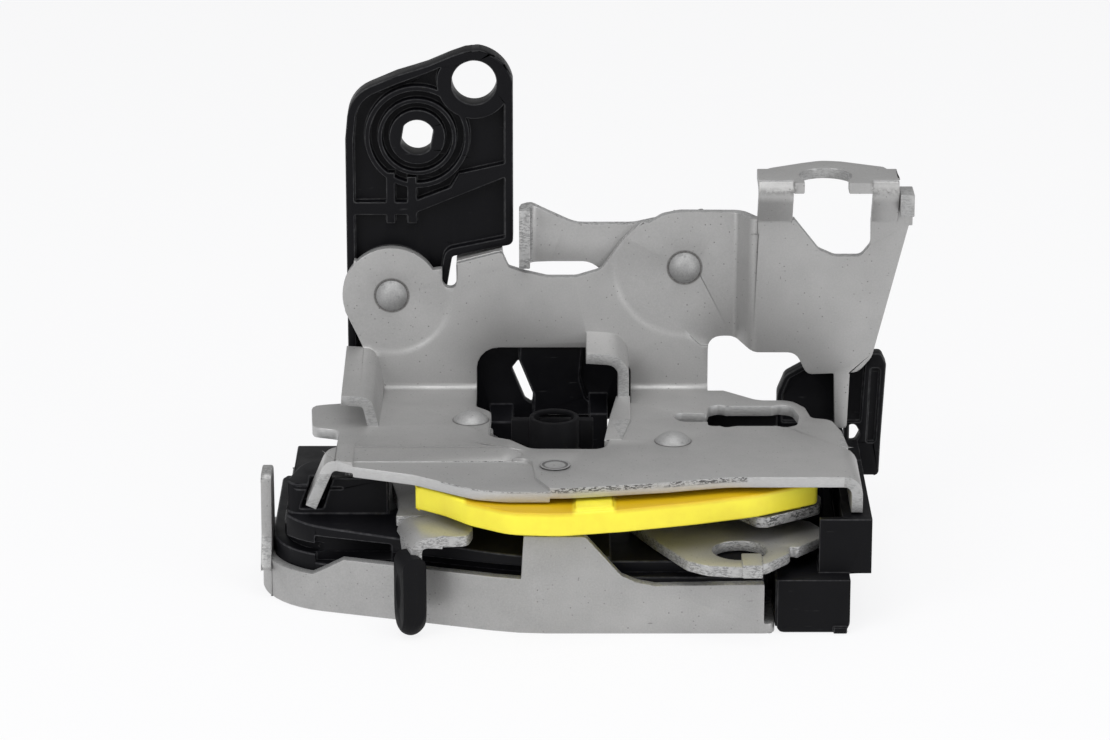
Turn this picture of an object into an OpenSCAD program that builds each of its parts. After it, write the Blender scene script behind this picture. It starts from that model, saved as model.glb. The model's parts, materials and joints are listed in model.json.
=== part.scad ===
// Car door lock: face plate, stamped lock plate, moulded housing, claw, pawl and hand levers.
// X runs along the face plate, Y from its front edge to the striker mouth, Z away from the door.
// The origin lies on the face plate's outer face, at its front edge, in line with the mouth.

/* [Face plate] */
// Sheet thickness of the face plate
tray_t = 2.4; // [2:0.1:2.8]
// Left end of the face plate from the mouth's middle
tray_left = 65.5; // [64:0.5:70]
// Right end of the face plate beside the connector
tray_right = 48; // [47.4:0.1:48.2]
// Right end of the face plate behind the connector
tray_back_right = 64; // [62:0.5:66]
// Depth of the face plate from front to back
tray_depth = 72; // [71:0.5:74]
// Height of the low front flange
flange_low = 12.7; // [11.5:0.1:13]
// Height of the flange's upright middle tongue
flange_high = 22.6; // [18:0.2:23]
// Height of the flange at the right
flange_right = 11.2; // [9:0.2:12]
// Height of the tab at the left end
end_tab_h = 27.2; // [22:0.4:29]
// Thread core radius of the fixing holes
fixing_r = 2.5; // [2:0.1:2.8]
// Depth of the threaded collar behind each fixing hole
fixing_collar = 2.2; // [1.5:0.1:2.8]

/* [Striker mouth] */
// Width of the mouth between its cheeks
mouth_w = 16; // [14:0.5:16]
// Closed end of the mouth from the front edge
mouth_end = 36; // [34:0.5:38]

/* [Lock plate] */
// Sheet thickness of the stamped lock plate
plate_t = 2.5; // [2:0.1:2.6]
// Underside of the top plate above the door face
plate_z = 31; // [31:0.2:33]
// Front face of the upright wall
wall_y = 70; // [69.5:0.1:71]
// Inside radius of the sheet's bends
bend_r = 1.5; // [1:0.1:2]
// How far the cable side of the wall stands forward
wall_jog = 5; // [4:0.2:5.6]
// Depth of the pressed pivot discs and of the pressed front field
emboss = 0.9; // [0.6:0.1:1]
// Width of the cable notch
cable_notch_w = 10; // [8:0.2:11]
// Radius of the cable seat
cable_seat_r = 6; // [5.4:0.1:6.4]
// Centre of the cable seat
cable_at = [61.3, 66.6];
// How far the bracket's legs lean forward
bracket_lean = 7.1; // [5:0.1:7.4]
// Top face of the cable bracket
bracket_z = 85.5; // [84:0.2:87]

/* [Claw and pawl] */
// Place of the claw rivet
claw_at = [-19, 47];
// Place of the pawl rivet
pawl_at = [26.3, 32.3];
// Outer radius of the claw
claw_r = 25; // [24:0.1:25]
// Thickness of the claw's steel
claw_t = 4.5; // [3.5:0.1:5]
// Width of the claw's striker notch
notch_w = 11; // [10:0.2:12]
// Bottom of the striker notch from the claw's axis
notch_at = 19; // [18:0.2:20]
// Direction of the notch when the claw stands open
claw_open = 45; // [42:1:46]
// Thickness of the moulded jacket on the steel
jacket_t = 0.9; // [0.6:0.1:1]
// Radius of the claw and pawl shafts
shaft_r = 4; // [3.6:0.1:4.2]

/* [Levers] */
// Thickness of the plated levers
lever_t = 2.5; // [2:0.1:2.6]
// Underside of the handle lever
handle_z = 15.5; // [15.5:0.1:15.8]
// Underside of the inner lever
inner_z = 20; // [20:0.1:20.4]
// Underside of the yellow lock lever
lock_z = 24.3; // [24.2:0.1:24.8]
// Thickness of the yellow lock lever
lock_t = 5.3; // [4.5:0.1:5.4]
// Place of the yellow lever's pin
lock_at = [0, 15.4];
// Radius of the yellow lever's pin
lock_pin_r = 3; // [2.5:0.1:3.4]
// Place of the drive pin on the yellow lever
drive_at = [52, 17];
// Radius of the drive pin
drive_r = 2.2; // [1.8:0.1:2.4]
// Centre of the handle lever's rod hole
rod_at = [40.3, 4.2];
// Radius of the rod hole
rod_r = 6; // [5:0.1:6.2]

/* [Release lever] */
// Pivot of the release lever, across and up
release_at = [-37.5, 55.6];
// Thickness of the release lever
release_t = 6; // [5:0.2:6.4]
// Thickness of the release lever's web
release_web = 3.5; // [2.5:0.1:4]
// Centre of the round rod hole
eye_at = [-18.4, 105.2];
// Radius of the round rod hole
eye_r = 5.1; // [4.5:0.1:5.4]
// Centre of the double-D hole
dd_at = [-31.4, 92.4];
// Radius of the double-D hole
dd_r = 4; // [3.5:0.1:4.4]
// Width between the flats of the double-D hole
dd_flat = 6.8; // [5.8:0.1:7]

/* [Pull arm] */
// Pivot of the pull arm, across and up
arm_at = [29.7, 62.3];
// Left end of the arm's flared flange
arm_end = -8.2; // [-8.6:0.1:-7.8]
// Depth of the arm's flared flange
arm_flange = 8; // [6:0.2:9]
// Height of the arm's flared flange
arm_flange_h = 14; // [12:0.2:15]

/* [Rivets] */
// Radius of the rivets in the wall
rivet_r = 3; // [2.6:0.1:3.2]
// Radius of the rivets' domed heads
dome_r = 3.7; // [3.5:0.1:4]
// Height of the rivets' domed heads
dome_h = 2.2; // [1.6:0.1:2.6]

/* [Housing] */
// Top of the latch housing under the inner lever
housing_high = 19.7; // [18.5:0.1:19.7]
// Top of the latch housing under the handle lever
housing_low = 15.2; // [14.6:0.1:15.2]
// Top of the housing's block at the left
block_z = 26.7; // [24:0.1:27.5]
// Front of that block
block_y = 22.7; // [22.7:0.1:23.5]
// Slope of the housing's front, in degrees
front_slope = 7.5; // [5:0.5:8]
// Wall over the claw and pawl pockets
pocket_top = 11.2; // [11:0.1:11.4]
// Joint between the housing and its cover
cover_z = 12.4; // [12.2:0.1:12.8]
// Width of the wells over the threaded collars
well = 9.4; // [9.2:0.1:10]
// Half width of the wells round the springs
spring_well = 7.4; // [7.2:0.1:7.6]

/* [Switch housing] */
// Left side of the upper switch box
switch_x = 57.7; // [57.5:0.1:58.5]
// Right side of the upper switch box
switch_end = 69.2; // [68.4:0.2:69.6]
// Top of the upper switch box
switch_top = 24.8; // [24.8:0.1:25.4]
// Wall thickness of the switch housing
switch_wall = 1.8; // [1.4:0.1:2.2]
// Left side of the connector shroud
plug_x = 48.4; // [48.3:0.1:49]
// Right side of the connector shroud
plug_end = 64.4; // [63:0.2:66]
// Top of the connector shroud
plug_top = 12.4; // [12:0.1:12.5]
// Number of contacts in the connector
contact_count = 4; // [2:1:5]
// Size of a contact's square blade
contact_w = 0.8; // [0.6:0.1:1]
// Height of the contacts above the door face
contact_z = 4.6; // [4:0.1:5]
// Place of the position switch's plunger from the mouth's middle
plunger_x = 53.5; // [53:0.1:55]
// Radius of the position switch's plunger
plunger_r = 1.5; // [1.2:0.1:1.8]

/* [Clearances] */
// Radial clearance of a lever on its shaft
bore_gap = 0.07; // [0.03:0.01:0.09]
// Gap between neighbouring moving pieces
run_gap = 0.3; // [0.2:0.05:0.35]
// Gap round a piece that sits still in its seat
seat_gap = 0.05; // [0.02:0.01:0.1]

/* [Hidden] */
$fn = 64;
plate_top = plate_z + plate_t;
wall_back = wall_y + plate_t;
jog_y = wall_y - wall_jog;
lever_y = wall_back + emboss + run_gap;
arm_y = lever_y;
cover_y = jog_y + plate_t + run_gap;
release_back = lever_y + release_t;
claw_z = 4.6;
collar_top = tray_t + fixing_collar;
rivet_step = inner_z + lever_t + run_gap;
link_z = lock_z - run_gap - lever_t;
pawl_step = link_z + lever_t + run_gap;
rivet_tip_r = shaft_r - 1;
clip_z = 0.3;
plunger_z = link_z + lever_t / 2;
foot_z = 15.8;
tab_at = [-31.2, -1.6];
tab_turn = 105;
tab_run = 14.2;
tab_bend = 3.5;
guide_y = wall_back + run_gap;
field_right = 38;
disc_r = 15;
leg_x = 67.2;
leg_bend = 4;
slope_y = 20.6;
slope_run = 7.4;

// Unit vector along v.
function unit(v) = v / norm(v);

// Left-hand normal of a unit vector.
function left(v) = [-v.y, v.x];

// Plan point of a corner row [x, y, radius].
function at(p) = [p.x, p.y];

// Points of the arc that rounds corner b between a and c.
function arc_points(a, b, c) =
    let (
        u = unit(at(a) - at(b)),
        w = unit(at(c) - at(b)),
        half = acos(max(-1, min(1, u * w))) / 2,
        room = 0.49 * min(norm(at(a) - at(b)), norm(at(c) - at(b))),
        r = min(b.z, room * tan(half)),
        centre = at(b) + unit(u + w) * r / sin(half),
        start = at(b) + u * r / tan(half) - centre,
        end = at(b) + w * r / tan(half) - centre,
        first = atan2(start.y, start.x),
        sweep = atan2(cross(start, end), start * end),
        steps = max(2, ceil(abs(sweep) / (r > 6 ? 9 : 18)))
    )
    [for (i = [0:steps]) centre + r * [cos(first + sweep * i / steps), sin(first + sweep * i / steps)]];

// Outline through corner rows [x, y, radius], with each corner rounded by its radius.
function rounded(corners) =
    let (n = len(corners))
    [for (i = [0:n - 1])
        each (corners[i].z > 0
            ? arc_points(corners[(i + n - 1) % n], corners[i], corners[(i + 1) % n])
            : [at(corners[i])])];

// The same corner rows moved inwards by d, for rows that run anticlockwise.
function inset(corners, d) =
    let (n = len(corners))
    [for (i = [0:n - 1])
        let (
            into = at(corners[i]) - at(corners[(i + n - 1) % n]),
            out = at(corners[(i + 1) % n]) - at(corners[i]),
            n1 = left(unit(into)),
            n2 = left(unit(out)),
            shift = d * (n1 + n2) / (1 + n1 * n2),
            grow = cross(into, out) > 0 ? -d : d
        )
        [corners[i].x + shift.x, corners[i].y + shift.y, max(0, corners[i].z + grow)]];

// Direction across a path at one of its points, lengthened where the path turns.
function across(path, i) =
    let (
        last = len(path) - 1,
        into = left(unit(path[max(1, i)] - path[max(0, i - 1)])),
        out = left(unit(path[min(last, i + 1)] - path[min(last - 1, i)]))
    )
    (into + out) / (1 + into * out);

// Closed section of a sheet of thickness t that lies on the left of a path.
function sheet_section(path, t) =
    concat(path, [for (i = [len(path) - 1:-1:0]) path[i] + t * across(path, i)]);

// Plan shape raised from z0 by t.
module slab(z0, t) {
    translate([0, 0, z0]) linear_extrude(t) children();
}

// Front-view shape (across, up) with its front face at y0 and its thickness t to the back.
module upright(y0, t) {
    translate([0, y0 + t, 0]) rotate([90, 0, 0]) linear_extrude(t) children();
}

// Side-view shape (back, up) extruded from x0 to the right by t.
module side(x0, t) {
    translate([x0, 0, 0]) rotate([90, 0, 90]) linear_extrude(t) children();
}

// Cylinder that lies along Y, from y0 to the back by t.
module bar_y(place, r, y0, t) {
    translate([place.x, y0 + t, place.y]) rotate([90, 0, 0]) cylinder(r = r, h = t);
}

// Upright cylinder.
module post(place, r, z0, t) {
    translate([place.x, place.y, z0]) cylinder(r = r, h = t);
}

// Shallow domed cap of radius r and height h that stands on z = 0.
module dome(r, h) {
    ball = (r * r + h * h) / (2 * h);
    rotate_extrude()
        intersection() {
            translate([0, h - ball]) circle(r = ball);
            square([r, h]);
        }
}

// Pie slice of the plan between two angles less than a half turn apart.
module slice(r, from, to) {
    mid = (from + to) / 2;
    reach = 1.6 * r;
    polygon([
        [0, 0], reach * [cos(from), sin(from)], reach * [cos(mid), sin(mid)], reach * [cos(to), sin(to)]
    ]);
}

// Close-wound torsion coil with its axis along Z and two straight legs.
module coil(r, wire, turns, leg, leg_a, leg_b) {
    pitch = 1.9 * wire;
    leg_wire = 0.84 * wire;
    rotate_extrude()
        for (i = [0:turns - 1])
            translate([r, wire + i * pitch]) circle(r = wire, $fn = 20);
    rotate([0, 0, leg_a]) translate([r, -wire, wire]) rotate([-90, 0, 0])
        cylinder(r = leg_wire, h = leg + wire, $fn = 20);
    rotate([0, 0, leg_b]) translate([r, wire, wire + (turns - 1) * pitch]) rotate([90, 0, 0])
        cylinder(r = leg_wire, h = leg + wire, $fn = 20);
}

// Corner rows of the face plate's plan outline.
tray_corners = [
    [-8, 0, 40], [tray_right, 0, 2], [tray_right, 19, 2], [tray_back_right, 19, 3],
    [tray_back_right, tray_depth, 4], [-tray_left, tray_depth, 5], [-tray_left, 18, 20]
];

// Height line of the front flange, seen from the front.
flange_line = [
    [-tray_left - 2, -1], [-tray_left - 2, 8.6], [-53.5, 8.6], [-46.5, flange_low + 0.1],
    [-7.4, flange_low], [-6.8, flange_high], [6.5, flange_high], [14.4, 13.5], [17.8, flange_right + 0.8],
    [21.8, flange_right], [tray_right - 2.4, flange_right + 0.4], [tray_right - 2.4, -1]
];

fixing_places = [[-54, 30], [-54, 62], [44, 58]];

module tray_plan(d) {
    polygon(rounded(inset(tray_corners, d)));
}

module mouth_plan(w, end) {
    translate([-w / 2, end + w / 2]) square([w, 2 * tray_depth]);
    translate([0, end + w / 2]) circle(d = w);
}

module face_plate() {
    color("silver")
    difference() {
        union() {
            slab(0, tray_t) tray_plan(0);
            intersection() {
                difference() {
                    slab(0, flange_high) tray_plan(0);
                    slab(-1, flange_high + 2) tray_plan(tray_t);
                    translate([-tray_left - 1, 52, tray_t]) cube([2 * tray_left + 20, 40, flange_high]);
                }
                upright(-5, 62) polygon(flange_line);
            }
            // Tab that stands up from the left end
            side(-tray_left, tray_t)
                polygon(rounded([
                    [22, 0, 0], [44, 0, 0], [37.5, 12, 4], [36.6, end_tab_h, 3], [27.4, end_tab_h, 2],
                    [26.4, 13, 4], [22, 7, 2]
                ]));
            for (p = fixing_places)
                post(p, fixing_r + 2, tray_t - 0.5, fixing_collar + 0.5);
        }
        slab(-1, tray_t + 2) mouth_plan(mouth_w, mouth_end);
        for (p = fixing_places)
            post(p, fixing_r, -1, tray_t + fixing_collar + 2);
        post(claw_at, rivet_tip_r, -1, tray_t + 2);
        post(pawl_at, rivet_tip_r, -1, tray_t + 2);
    }
}

// Outline of the wall as seen from the front, without its windows.
module wall_front() {
    difference() {
        union() {
            polygon(rounded([
                [-40.3, plate_top + bend_r, 0], [-48.4, 52, 2], [-46, 64, 0], [-37.5, 60, 0], [-26, 62, 0],
                [-22.6, 63.5, 0.6], [-12.2, 66.2, 0.8], [-10.6, 62.6, 1], [-6.9, 61.4, 3], [-1.8, 60.2, 3],
                [4.8, 60.2, 3], [10.4, 61.9, 3], [14.8, 68, 3], [19.8, 73.2, 2], [21.4, 72.8, 1],
                [24.6, 74.7, 3], [28.5, 75.5, 6], [46, 75.4, 0], [77.8, 75.4, 0], [77.8, 76.6, 0],
                [81, 76.6, 1.5], [72.6, 42.5, 4], [69.5, 38.9, 3], [57.8, 38.4, 2], [55.2, 43.7, 3],
                [45.5, 43.7, 4], [40.5, 46, 6], [35.2, 45.5, 3], [35.2, plate_top + bend_r, 0]
            ]));
            translate(release_at) circle(r = 11.3);
        }
        // Notch between the release lever's disc and the stop tab
        polygon(rounded([[-25.9, 72, 0], [-25.9, 57.5, 1.6], [-22.6, 57.5, 1.6], [-22.6, 72, 0]]));
        // Striker window
        polygon(rounded([[-18, 20, 0], [-18, 43.3, 5], [9, 43.3, 1.5], [17.4, 39, 3], [17.4, 20, 0]]));
        // Cable window under the bracket
        polygon(rounded([
            [53.9, 100, 0], [53.9, 76, 1.5], [60, 68.3, 2], [63.6, 66.7, 2], [69.6, 66.7, 2], [71.8, 69.5, 2],
            [71.8, 100, 0]
        ]));
    }
}

// Plan of the sheet that steps from the pressed field to the wall's cable side.
module jog_plan() {
    path = rounded([
        [field_right, wall_y + emboss, 0], [41.5, wall_y + emboss, 1.5], [45, jog_y, 3.5], [95, jog_y, 0]
    ]);
    polygon(sheet_section(path, plate_t));
}

// Field round the arm's pivot that is pressed to the back, as seen from the front.
module arm_field(r) {
    translate(arm_at) circle(r = r);
    polygon([[29.7, 47.3], [33.6, 43.7], [field_right + 1, 43.7], [field_right + 1, 90], [29.7, 90]]);
}

// The wall up to its step: flat, with both pivots' fields pressed to the back.
module wall_sheet() {
    intersection() {
        union() {
            difference() {
                translate([-80, wall_y, plate_z]) cube([80 + field_right, plate_t, 80]);
                upright(wall_y - 1, emboss + 1) arm_field(disc_r);
                disc_cone(arm_at, disc_r, wall_y);
                disc_cone(release_at, disc_r - 2.6, wall_y);
            }
            upright(wall_y + emboss, plate_t) arm_field(disc_r);
            disc_cone(arm_at, disc_r, wall_back);
            disc_cone(release_at, disc_r - 2.6, wall_back);
        }
        upright(wall_y - 1, plate_t + emboss + 2) wall_front();
        translate([-80, wall_y - 1, plate_top + bend_r]) cube([80 + field_right + 0.2, 10, 80]);
    }
}

// Shallow cone that leads from the wall's face to a field pressed back by the emboss.
module disc_cone(place, r, y0) {
    translate([place.x, y0 + emboss, place.y]) rotate([90, 0, 0]) cylinder(r1 = r, r2 = r + 2.2, h = emboss);
}

// A quarter bend of the sheet between the top plate and the wall, from x0 to x1.
module bend_strip(x0, x1) {
    outer = bend_r + plate_t;
    translate([x0, wall_back - outer, plate_z + outer])
        intersection() {
            rotate([0, 90, 0])
                difference() {
                    cylinder(r = outer, h = x1 - x0);
                    translate([0, 0, -1]) cylinder(r = bend_r, h = x1 - x0 + 2);
                }
            translate([-1, 0, -outer]) cube([x1 - x0 + 2, outer, outer]);
        }
}

// Corner rows of the top plate, anticlockwise from its left front.
top_corners = [
    [-48.6, 19, 2], [-31, 12.2, 6], [-17.5, 2.6, 8], [-11, 0.9, 12], [3, 0.9, 20], [24, 4.6, 20],
    [37.7, 8.1, 20], [leg_x - leg_bend, 8.1, 0], [leg_x - leg_bend, 28, 0], [65.2, 28.4, 0.6], [64.4, 39, 8],
    [62.4, 47.5, 3], [58, 48.6, 2], [57, 56, 4],
    [54, 61.3, 4], [46.5, 61.3, 4], [35.2, 72, 0], [35.2, wall_back - bend_r - plate_t, 0],
    [-40.3, wall_back - bend_r - plate_t, 0], [-41.5, 60, 1], [-49, 59, 2], [-55.6, 57.5, 3], [-54.6, 42, 3],
    [-48.4, 40, 2]
];

module top_plan() {
    difference() {
        polygon(rounded(top_corners));
        // Striker window
        polygon(rounded([
            [-18, 90, 0], [-18, 57, 2], [-14.4, 53, 4], [-15, 36, 3], [-10, 33.5, 3], [-5.5, 27.3, 3],
            [10.8, 27, 3], [13, 36, 6], [17.4, 60, 3], [17.4, 90, 0]
        ]));
        // Shaped lever slot
        polygon(rounded([
            [34.5, 46, 0], [34.5, 43, 2], [37, 43, 1], [38.5, 42, 1], [41, 43, 1], [50, 43, 1],
            [52, 42, 1], [54.6, 43.4, 3], [55.4, 50, 4], [54, 57, 3], [51, 58, 1], [49.5, 57, 1],
            [39, 57, 1], [37.4, 58, 1], [35, 56.6, 2], [34.5, 52, 0.5], [27.6, 52, 2], [26.8, 49, 2],
            [28.5, 46, 2]
        ]));
        // Edge of the sheet at the sloping back right corner
        translate([35.2, wall_back - bend_r - plate_t]) square([30, 20]);
        translate(claw_at) circle(r = rivet_tip_r);
        translate(pawl_at) circle(r = rivet_tip_r);
        translate(lock_at) circle(r = lock_pin_r);
    }
}

// Front left field of the top plate that is pressed down, and the slope behind it.
field_rows = [[-44.5, 6, 0], [-20, -6, 0], [2, -6, 0], [-4.2, 8, 4], [-5.2, slope_y, 3], [-44.5, slope_y, 0]];
slope_rows = [
    [-44.5, slope_y - 0.1, 0], [-9, slope_y - 0.1, 3], [-6.4, slope_y + 2.6, 3],
    [-10.4, slope_y + slope_run, 4], [-44.5, slope_y + slope_run, 0]
];

module field_plan(rows) {
    intersection() {
        top_plan();
        polygon(rounded(rows));
    }
}

module top_plate() {
    slab(plate_z, plate_t) difference() {
        top_plan();
        polygon(rounded(field_rows));
        polygon(rounded(slope_rows));
    }
    slab(plate_z - emboss, plate_t) field_plan(field_rows);
    intersection() {
        slab(plate_z - 2 * emboss, plate_t + 4 * emboss) field_plan(slope_rows);
        translate([-60, slope_y - 0.1, plate_z - emboss]) rotate([atan(emboss / slope_run), 0, 0])
            cube([60, slope_run + 1, plate_t]);
    }
}

module lock_plate() {
    color("lightgray")
    difference() {
        union() {
            wall_sheet();
            intersection() {
                slab(plate_top + bend_r, 80) jog_plan();
                upright(jog_y - 1, wall_jog + plate_t + emboss + 2) wall_front();
            }
            bend_strip(-40.3, -18);
            bend_strip(17.4, 35.2);
            top_plate();
            // Stop tab bent to the back under the release lever
            upright(wall_y + plate_t / 2, lever_y + release_t - wall_y - plate_t / 2)
                polygon([[-22.6, 61], [-12, 63.8], [-12.2, 66.2], [-22.6, 63.5]]);
            cable_bracket();
            // End leg on the switch box
            upright(8.1, 20) polygon(sheet_section(rounded([
                [leg_x, switch_top + 0.4, 0], [leg_x, plate_top, leg_bend], [leg_x - 10, plate_top, 0]
            ]), plate_t));
            // Splayed leg at the front left corner
            upright(19, 9.3) polygon(sheet_section(rounded([
                [-46, plate_top, 0], [-50.6, plate_top, 3.5], [-55.1, 23, 0]
            ]), plate_t));
            // Ear at the left, rising a little to the back
            translate([0, 42.5, plate_top]) rotate([5, 0, 0]) translate([0, 0, -plate_top]) upright(0, 29)
                polygon(sheet_section(rounded([
                    [-39.4, 32.0, 0], [-41.2, 40.6, 3.5], [-48.0, 41.0, 0]
                ]), plate_t));
            // Rising edge of the striker window
            intersection() {
                slab(plate_z - 1, 10)
                    polygon([[11, 33], [14.9, 33], [17.1, 46], [17.2, 61], [14, 61], [12.2, 46]]);
                translate([0, 33, plate_z]) rotate([2.4, 0, 0]) cube([30, 30, plate_t]);
            }
            // Ear behind it
            intersection() {
                translate([0, 60, plate_z]) rotate([12, 0, 0]) translate([0, -60, -plate_z]) upright(54, 24)
                    polygon(sheet_section(rounded([
                        [16.9, plate_z - 3, 0], [16.9, 44.2, 5], [7.2, 44.8, 0]
                    ]), plate_t));
                translate([0, 60, plate_z + 0.3]) cube([30, wall_y + 1.6 - 60, 40]);
            }
            // Strap that hangs from the cable side
            upright(jog_y, plate_t) polygon(rounded([
                [64.4, switch_top + 0.6, 1], [67.2, switch_top + 0.6, 1], [67.8, 42, 0], [63.9, 42, 0]
            ]));
        }
        bar_y(release_at, rivet_r, wall_y - 5, 20);
        bar_y(arm_at, rivet_r, wall_y - 5, 20);
    }
}

// Bracket for the cable: two legs that lean forward and a flange with a keyhole notch.
module cable_bracket() {
    crease_z = 75;
    flange_y = jog_y - 2.6;
    lip_y = jog_y - 5.4;
    leg = sheet_section(rounded([
        [jog_y + 7, bracket_z, 0], [jog_y - bracket_lean, bracket_z, 4], [jog_y, crease_z, 1.5],
        [jog_y, crease_z - 3, 0]
    ]), plate_t);
    side(46, 7.9) polygon(leg);
    side(71.8, 6) polygon(leg);
    difference() {
        slab(bracket_z - plate_t, plate_t)
            polygon(rounded([
                [46, flange_y, 0], [53.9, flange_y, 0], [53.9, lip_y, 0], [71.8, lip_y, 0],
                [71.8, flange_y, 0], [77.8, flange_y, 0], [77.6, 66, 3], [75.2, 73.6, 3], [65.5, 78.4, 5],
                [61, 79.2, 5], [56.3, 77, 4], [48.6, 72.6, 3], [46, 67, 3]
            ]));
        post(cable_at, cable_seat_r, bracket_z - plate_t - 1, plate_t + 2);
        translate([cable_at.x - cable_notch_w / 2, 50, bracket_z - plate_t - 1])
            cube([cable_notch_w, cable_at.y - 50, plate_t + 2]);
    }
    // Finger bent forward at the right end
    translate([78, jog_y - 5, 77.4]) cube([3.2, 5 + plate_t, 5.2]);
    translate([77, jog_y, 74]) cube([4.2, plate_t, 8.6]);
}

// Plan of the latch housing inside the face plate's flange.
module housing_plan(d) {
    difference() {
        tray_plan(tray_t + d);
        translate([tray_right - 1.2, -5]) square([40, 25.5]);
        translate([49.5, 19]) square([30, 60]);
    }
}

// Square wells for the threaded collars and round the springs of the claw and the pawl.
module housing_wells(z0, top) {
    for (p = fixing_places)
        translate([p.x - well / 2, p.y - well / 2, z0]) cube([well, well, min(top, collar_top + 1) - z0]);
    for (p = [claw_at, pawl_at])
        slab(z0, top - z0) translate(p) polygon(rounded([
            [-spring_well, -spring_well, 3], [spring_well, -spring_well, 3],
            [spring_well, spring_well, 3], [-spring_well, spring_well, 3]
        ]));
}

// Lower moulding with the pockets of the claw and the pawl
module lock_housing() {
    color([0.08, 0.08, 0.1])
    difference() {
        slab(tray_t, cover_z - tray_t) housing_plan(0);
        post(claw_at, claw_r + 1, 1, pocket_top - 1);
        translate([-8, 15, 1]) cube([45, 29, pocket_top - 1]);
        slab(-1, 60) mouth_cut();
        housing_wells(1, cover_z + 1);
        front_recess();
    }
}

// Deep recess in the housing's front left face, over the low flange.
module front_recess() {
    translate([-53, 0, 10.4]) cube([17, 18.6, 6.1]);
}

// Plan of the block at the left, with its arms round the see-through channel.
module block_plan() {
    difference() {
        polygon(rounded([[-60.2, block_y, 3], [-37.4, block_y, 0.5], [-37.4, 40, 0.5], [-56, 40, 8]]));
        translate([-46.7, block_y + 2]) square([7.8, 40]);
    }
}

// Upper moulding that carries the levers, with the hump and the guide block
module housing_cover() {
    color([0.1, 0.1, 0.12])
    difference() {
        union() {
            slab(cover_z, housing_low - cover_z) housing_plan(2.5);
            difference() {
                slab(housing_low - 0.5, housing_high - housing_low + 0.5) intersection() {
                    housing_plan(0.2);
                    translate([-59.6, 0]) square([59.6 + 12, 80]);
                }
                translate([-80, block_y, housing_high]) rotate([front_slope, 0, 0]) translate([0, -60, 0])
                    cube([200, 60, 20]);
            }
            slab(housing_high - 0.5, block_z - housing_high + 0.5) block_plan();
            // Wall under the sight slit
            translate([-52, block_y, housing_high - 0.5]) cube([15, 2, 28.1 - housing_high + 0.5]);
            // Back wall behind the striker window, with its slit
            upright(guide_y + 1.8, 2) difference() {
                polygon(rounded([[-20, 24.5, 1], [18, 24.5, 1], [18, 45, 2], [-20, 45, 2]]));
                polygon([[-10, 36.9], [-8.4, 39], [-5, 30.8], [-5.4, 28.4], [-7, 29.5]]);
            }
            upright(guide_y, 2) polygon(rounded([
                [-5, 26, 0.5], [12, 26, 0], [12, 27, 1], [7, 30, 1], [5.6, 35, 1], [6.4, 44, 1], [-8, 44, 1],
                [-8.2, 39.5, 0.5], [-4.8, 31, 0.5]
            ]));
            // Feet of that wall beside the mouth
            translate([-15, 62, housing_high - 0.5]) cube([5.2, guide_y + 2.4 - 62, 28 - housing_high + 0.5]);
            translate([8, 60, housing_low - 0.5]) cube([4, guide_y + 2 - 60, 16]);
        }
        slab(-1, 60) mouth_cut();
        housing_wells(1, housing_high - 3.3);
        post(claw_at, shaft_r + seat_gap, 0, 40);
        // See-through channel over the claw
        translate([-46.7, block_y + 2, 12.8]) cube([7.8, 60, 30]);
        // Groove under the block's top, and the slot of the splayed leg
        translate([-62, block_y - 1, block_z - 1.2]) cube([15, 1.5, 0.4]);
        upright(18.6, 10.1) polygon([[-56.6, 21], [-51.4, 21], [-49.0, 28.6], [-53.8, 28.6]]);
        front_recess();
        post(lock_at, lock_pin_r + seat_gap, housing_high - 3, 10);
    }
}

module mouth_cut() {
    intersection() {
        mouth_plan(mouth_w, mouth_end);
        translate([-20, 0]) square([40, wall_back]);
    }
}

// Stepped rivet whose shoulder ends at bearing_top.
module shaft(place, bearing_top) {
    post(place, rivet_tip_r, 0, plate_top + 0.1);
    post(place, shaft_r, tray_t, bearing_top - tray_t);
    translate([place.x, place.y, plate_top]) dome(4.1, dome_h);
}

module claw_pivot() {
    color("gainsboro") shaft(claw_at, rivet_step);
}

module pawl_pivot() {
    color("gainsboro") shaft(pawl_at, pawl_step);
}

module sleeve(place, z0) {
    difference() {
        post(place, shaft_r + 1, z0, plate_z - z0);
        post(place, rivet_tip_r, z0 - 1, plate_z - z0 + 2);
    }
}

module claw_sleeve() {
    color("darkgray") sleeve(claw_at, rivet_step);
}

module pawl_sleeve() {
    color("darkgray") sleeve(pawl_at, pawl_step);
}

// Rivet along Y with a dome in front and a flat head behind.
module wall_rivet(place, front_y, back_y) {
    bar_y(place, rivet_r, front_y, back_y - front_y + 1);
    bar_y(place, rivet_r + 1.4, back_y, 1.6);
    translate([place.x, front_y, place.y]) rotate([90, 0, 0]) dome(dome_r, dome_h);
}

module release_rivet() {
    color("gainsboro") wall_rivet(release_at, wall_y + emboss, release_back + 8.4);
}

module arm_rivet() {
    color("gainsboro") wall_rivet(arm_at, wall_y + emboss, arm_y + plate_t + 7.4);
}

module washer(place, y0) {
    difference() {
        bar_y(place, rivet_r + 4, y0, 1);
        bar_y(place, rivet_r, y0 - 1, 3);
    }
}

module release_washer() {
    color("gray") washer(release_at, release_back + 7.4);
}

module arm_washer() {
    color("gray") washer(arm_at, arm_y + plate_t + 6.4);
}

module lever_pin() {
    color("gainsboro") {
        post(lock_at, lock_pin_r, housing_high - 3, plate_top - housing_high + 3);
        post(lock_at, lock_pin_r + 0.7, plate_top, 0.6);
    }
}

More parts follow.
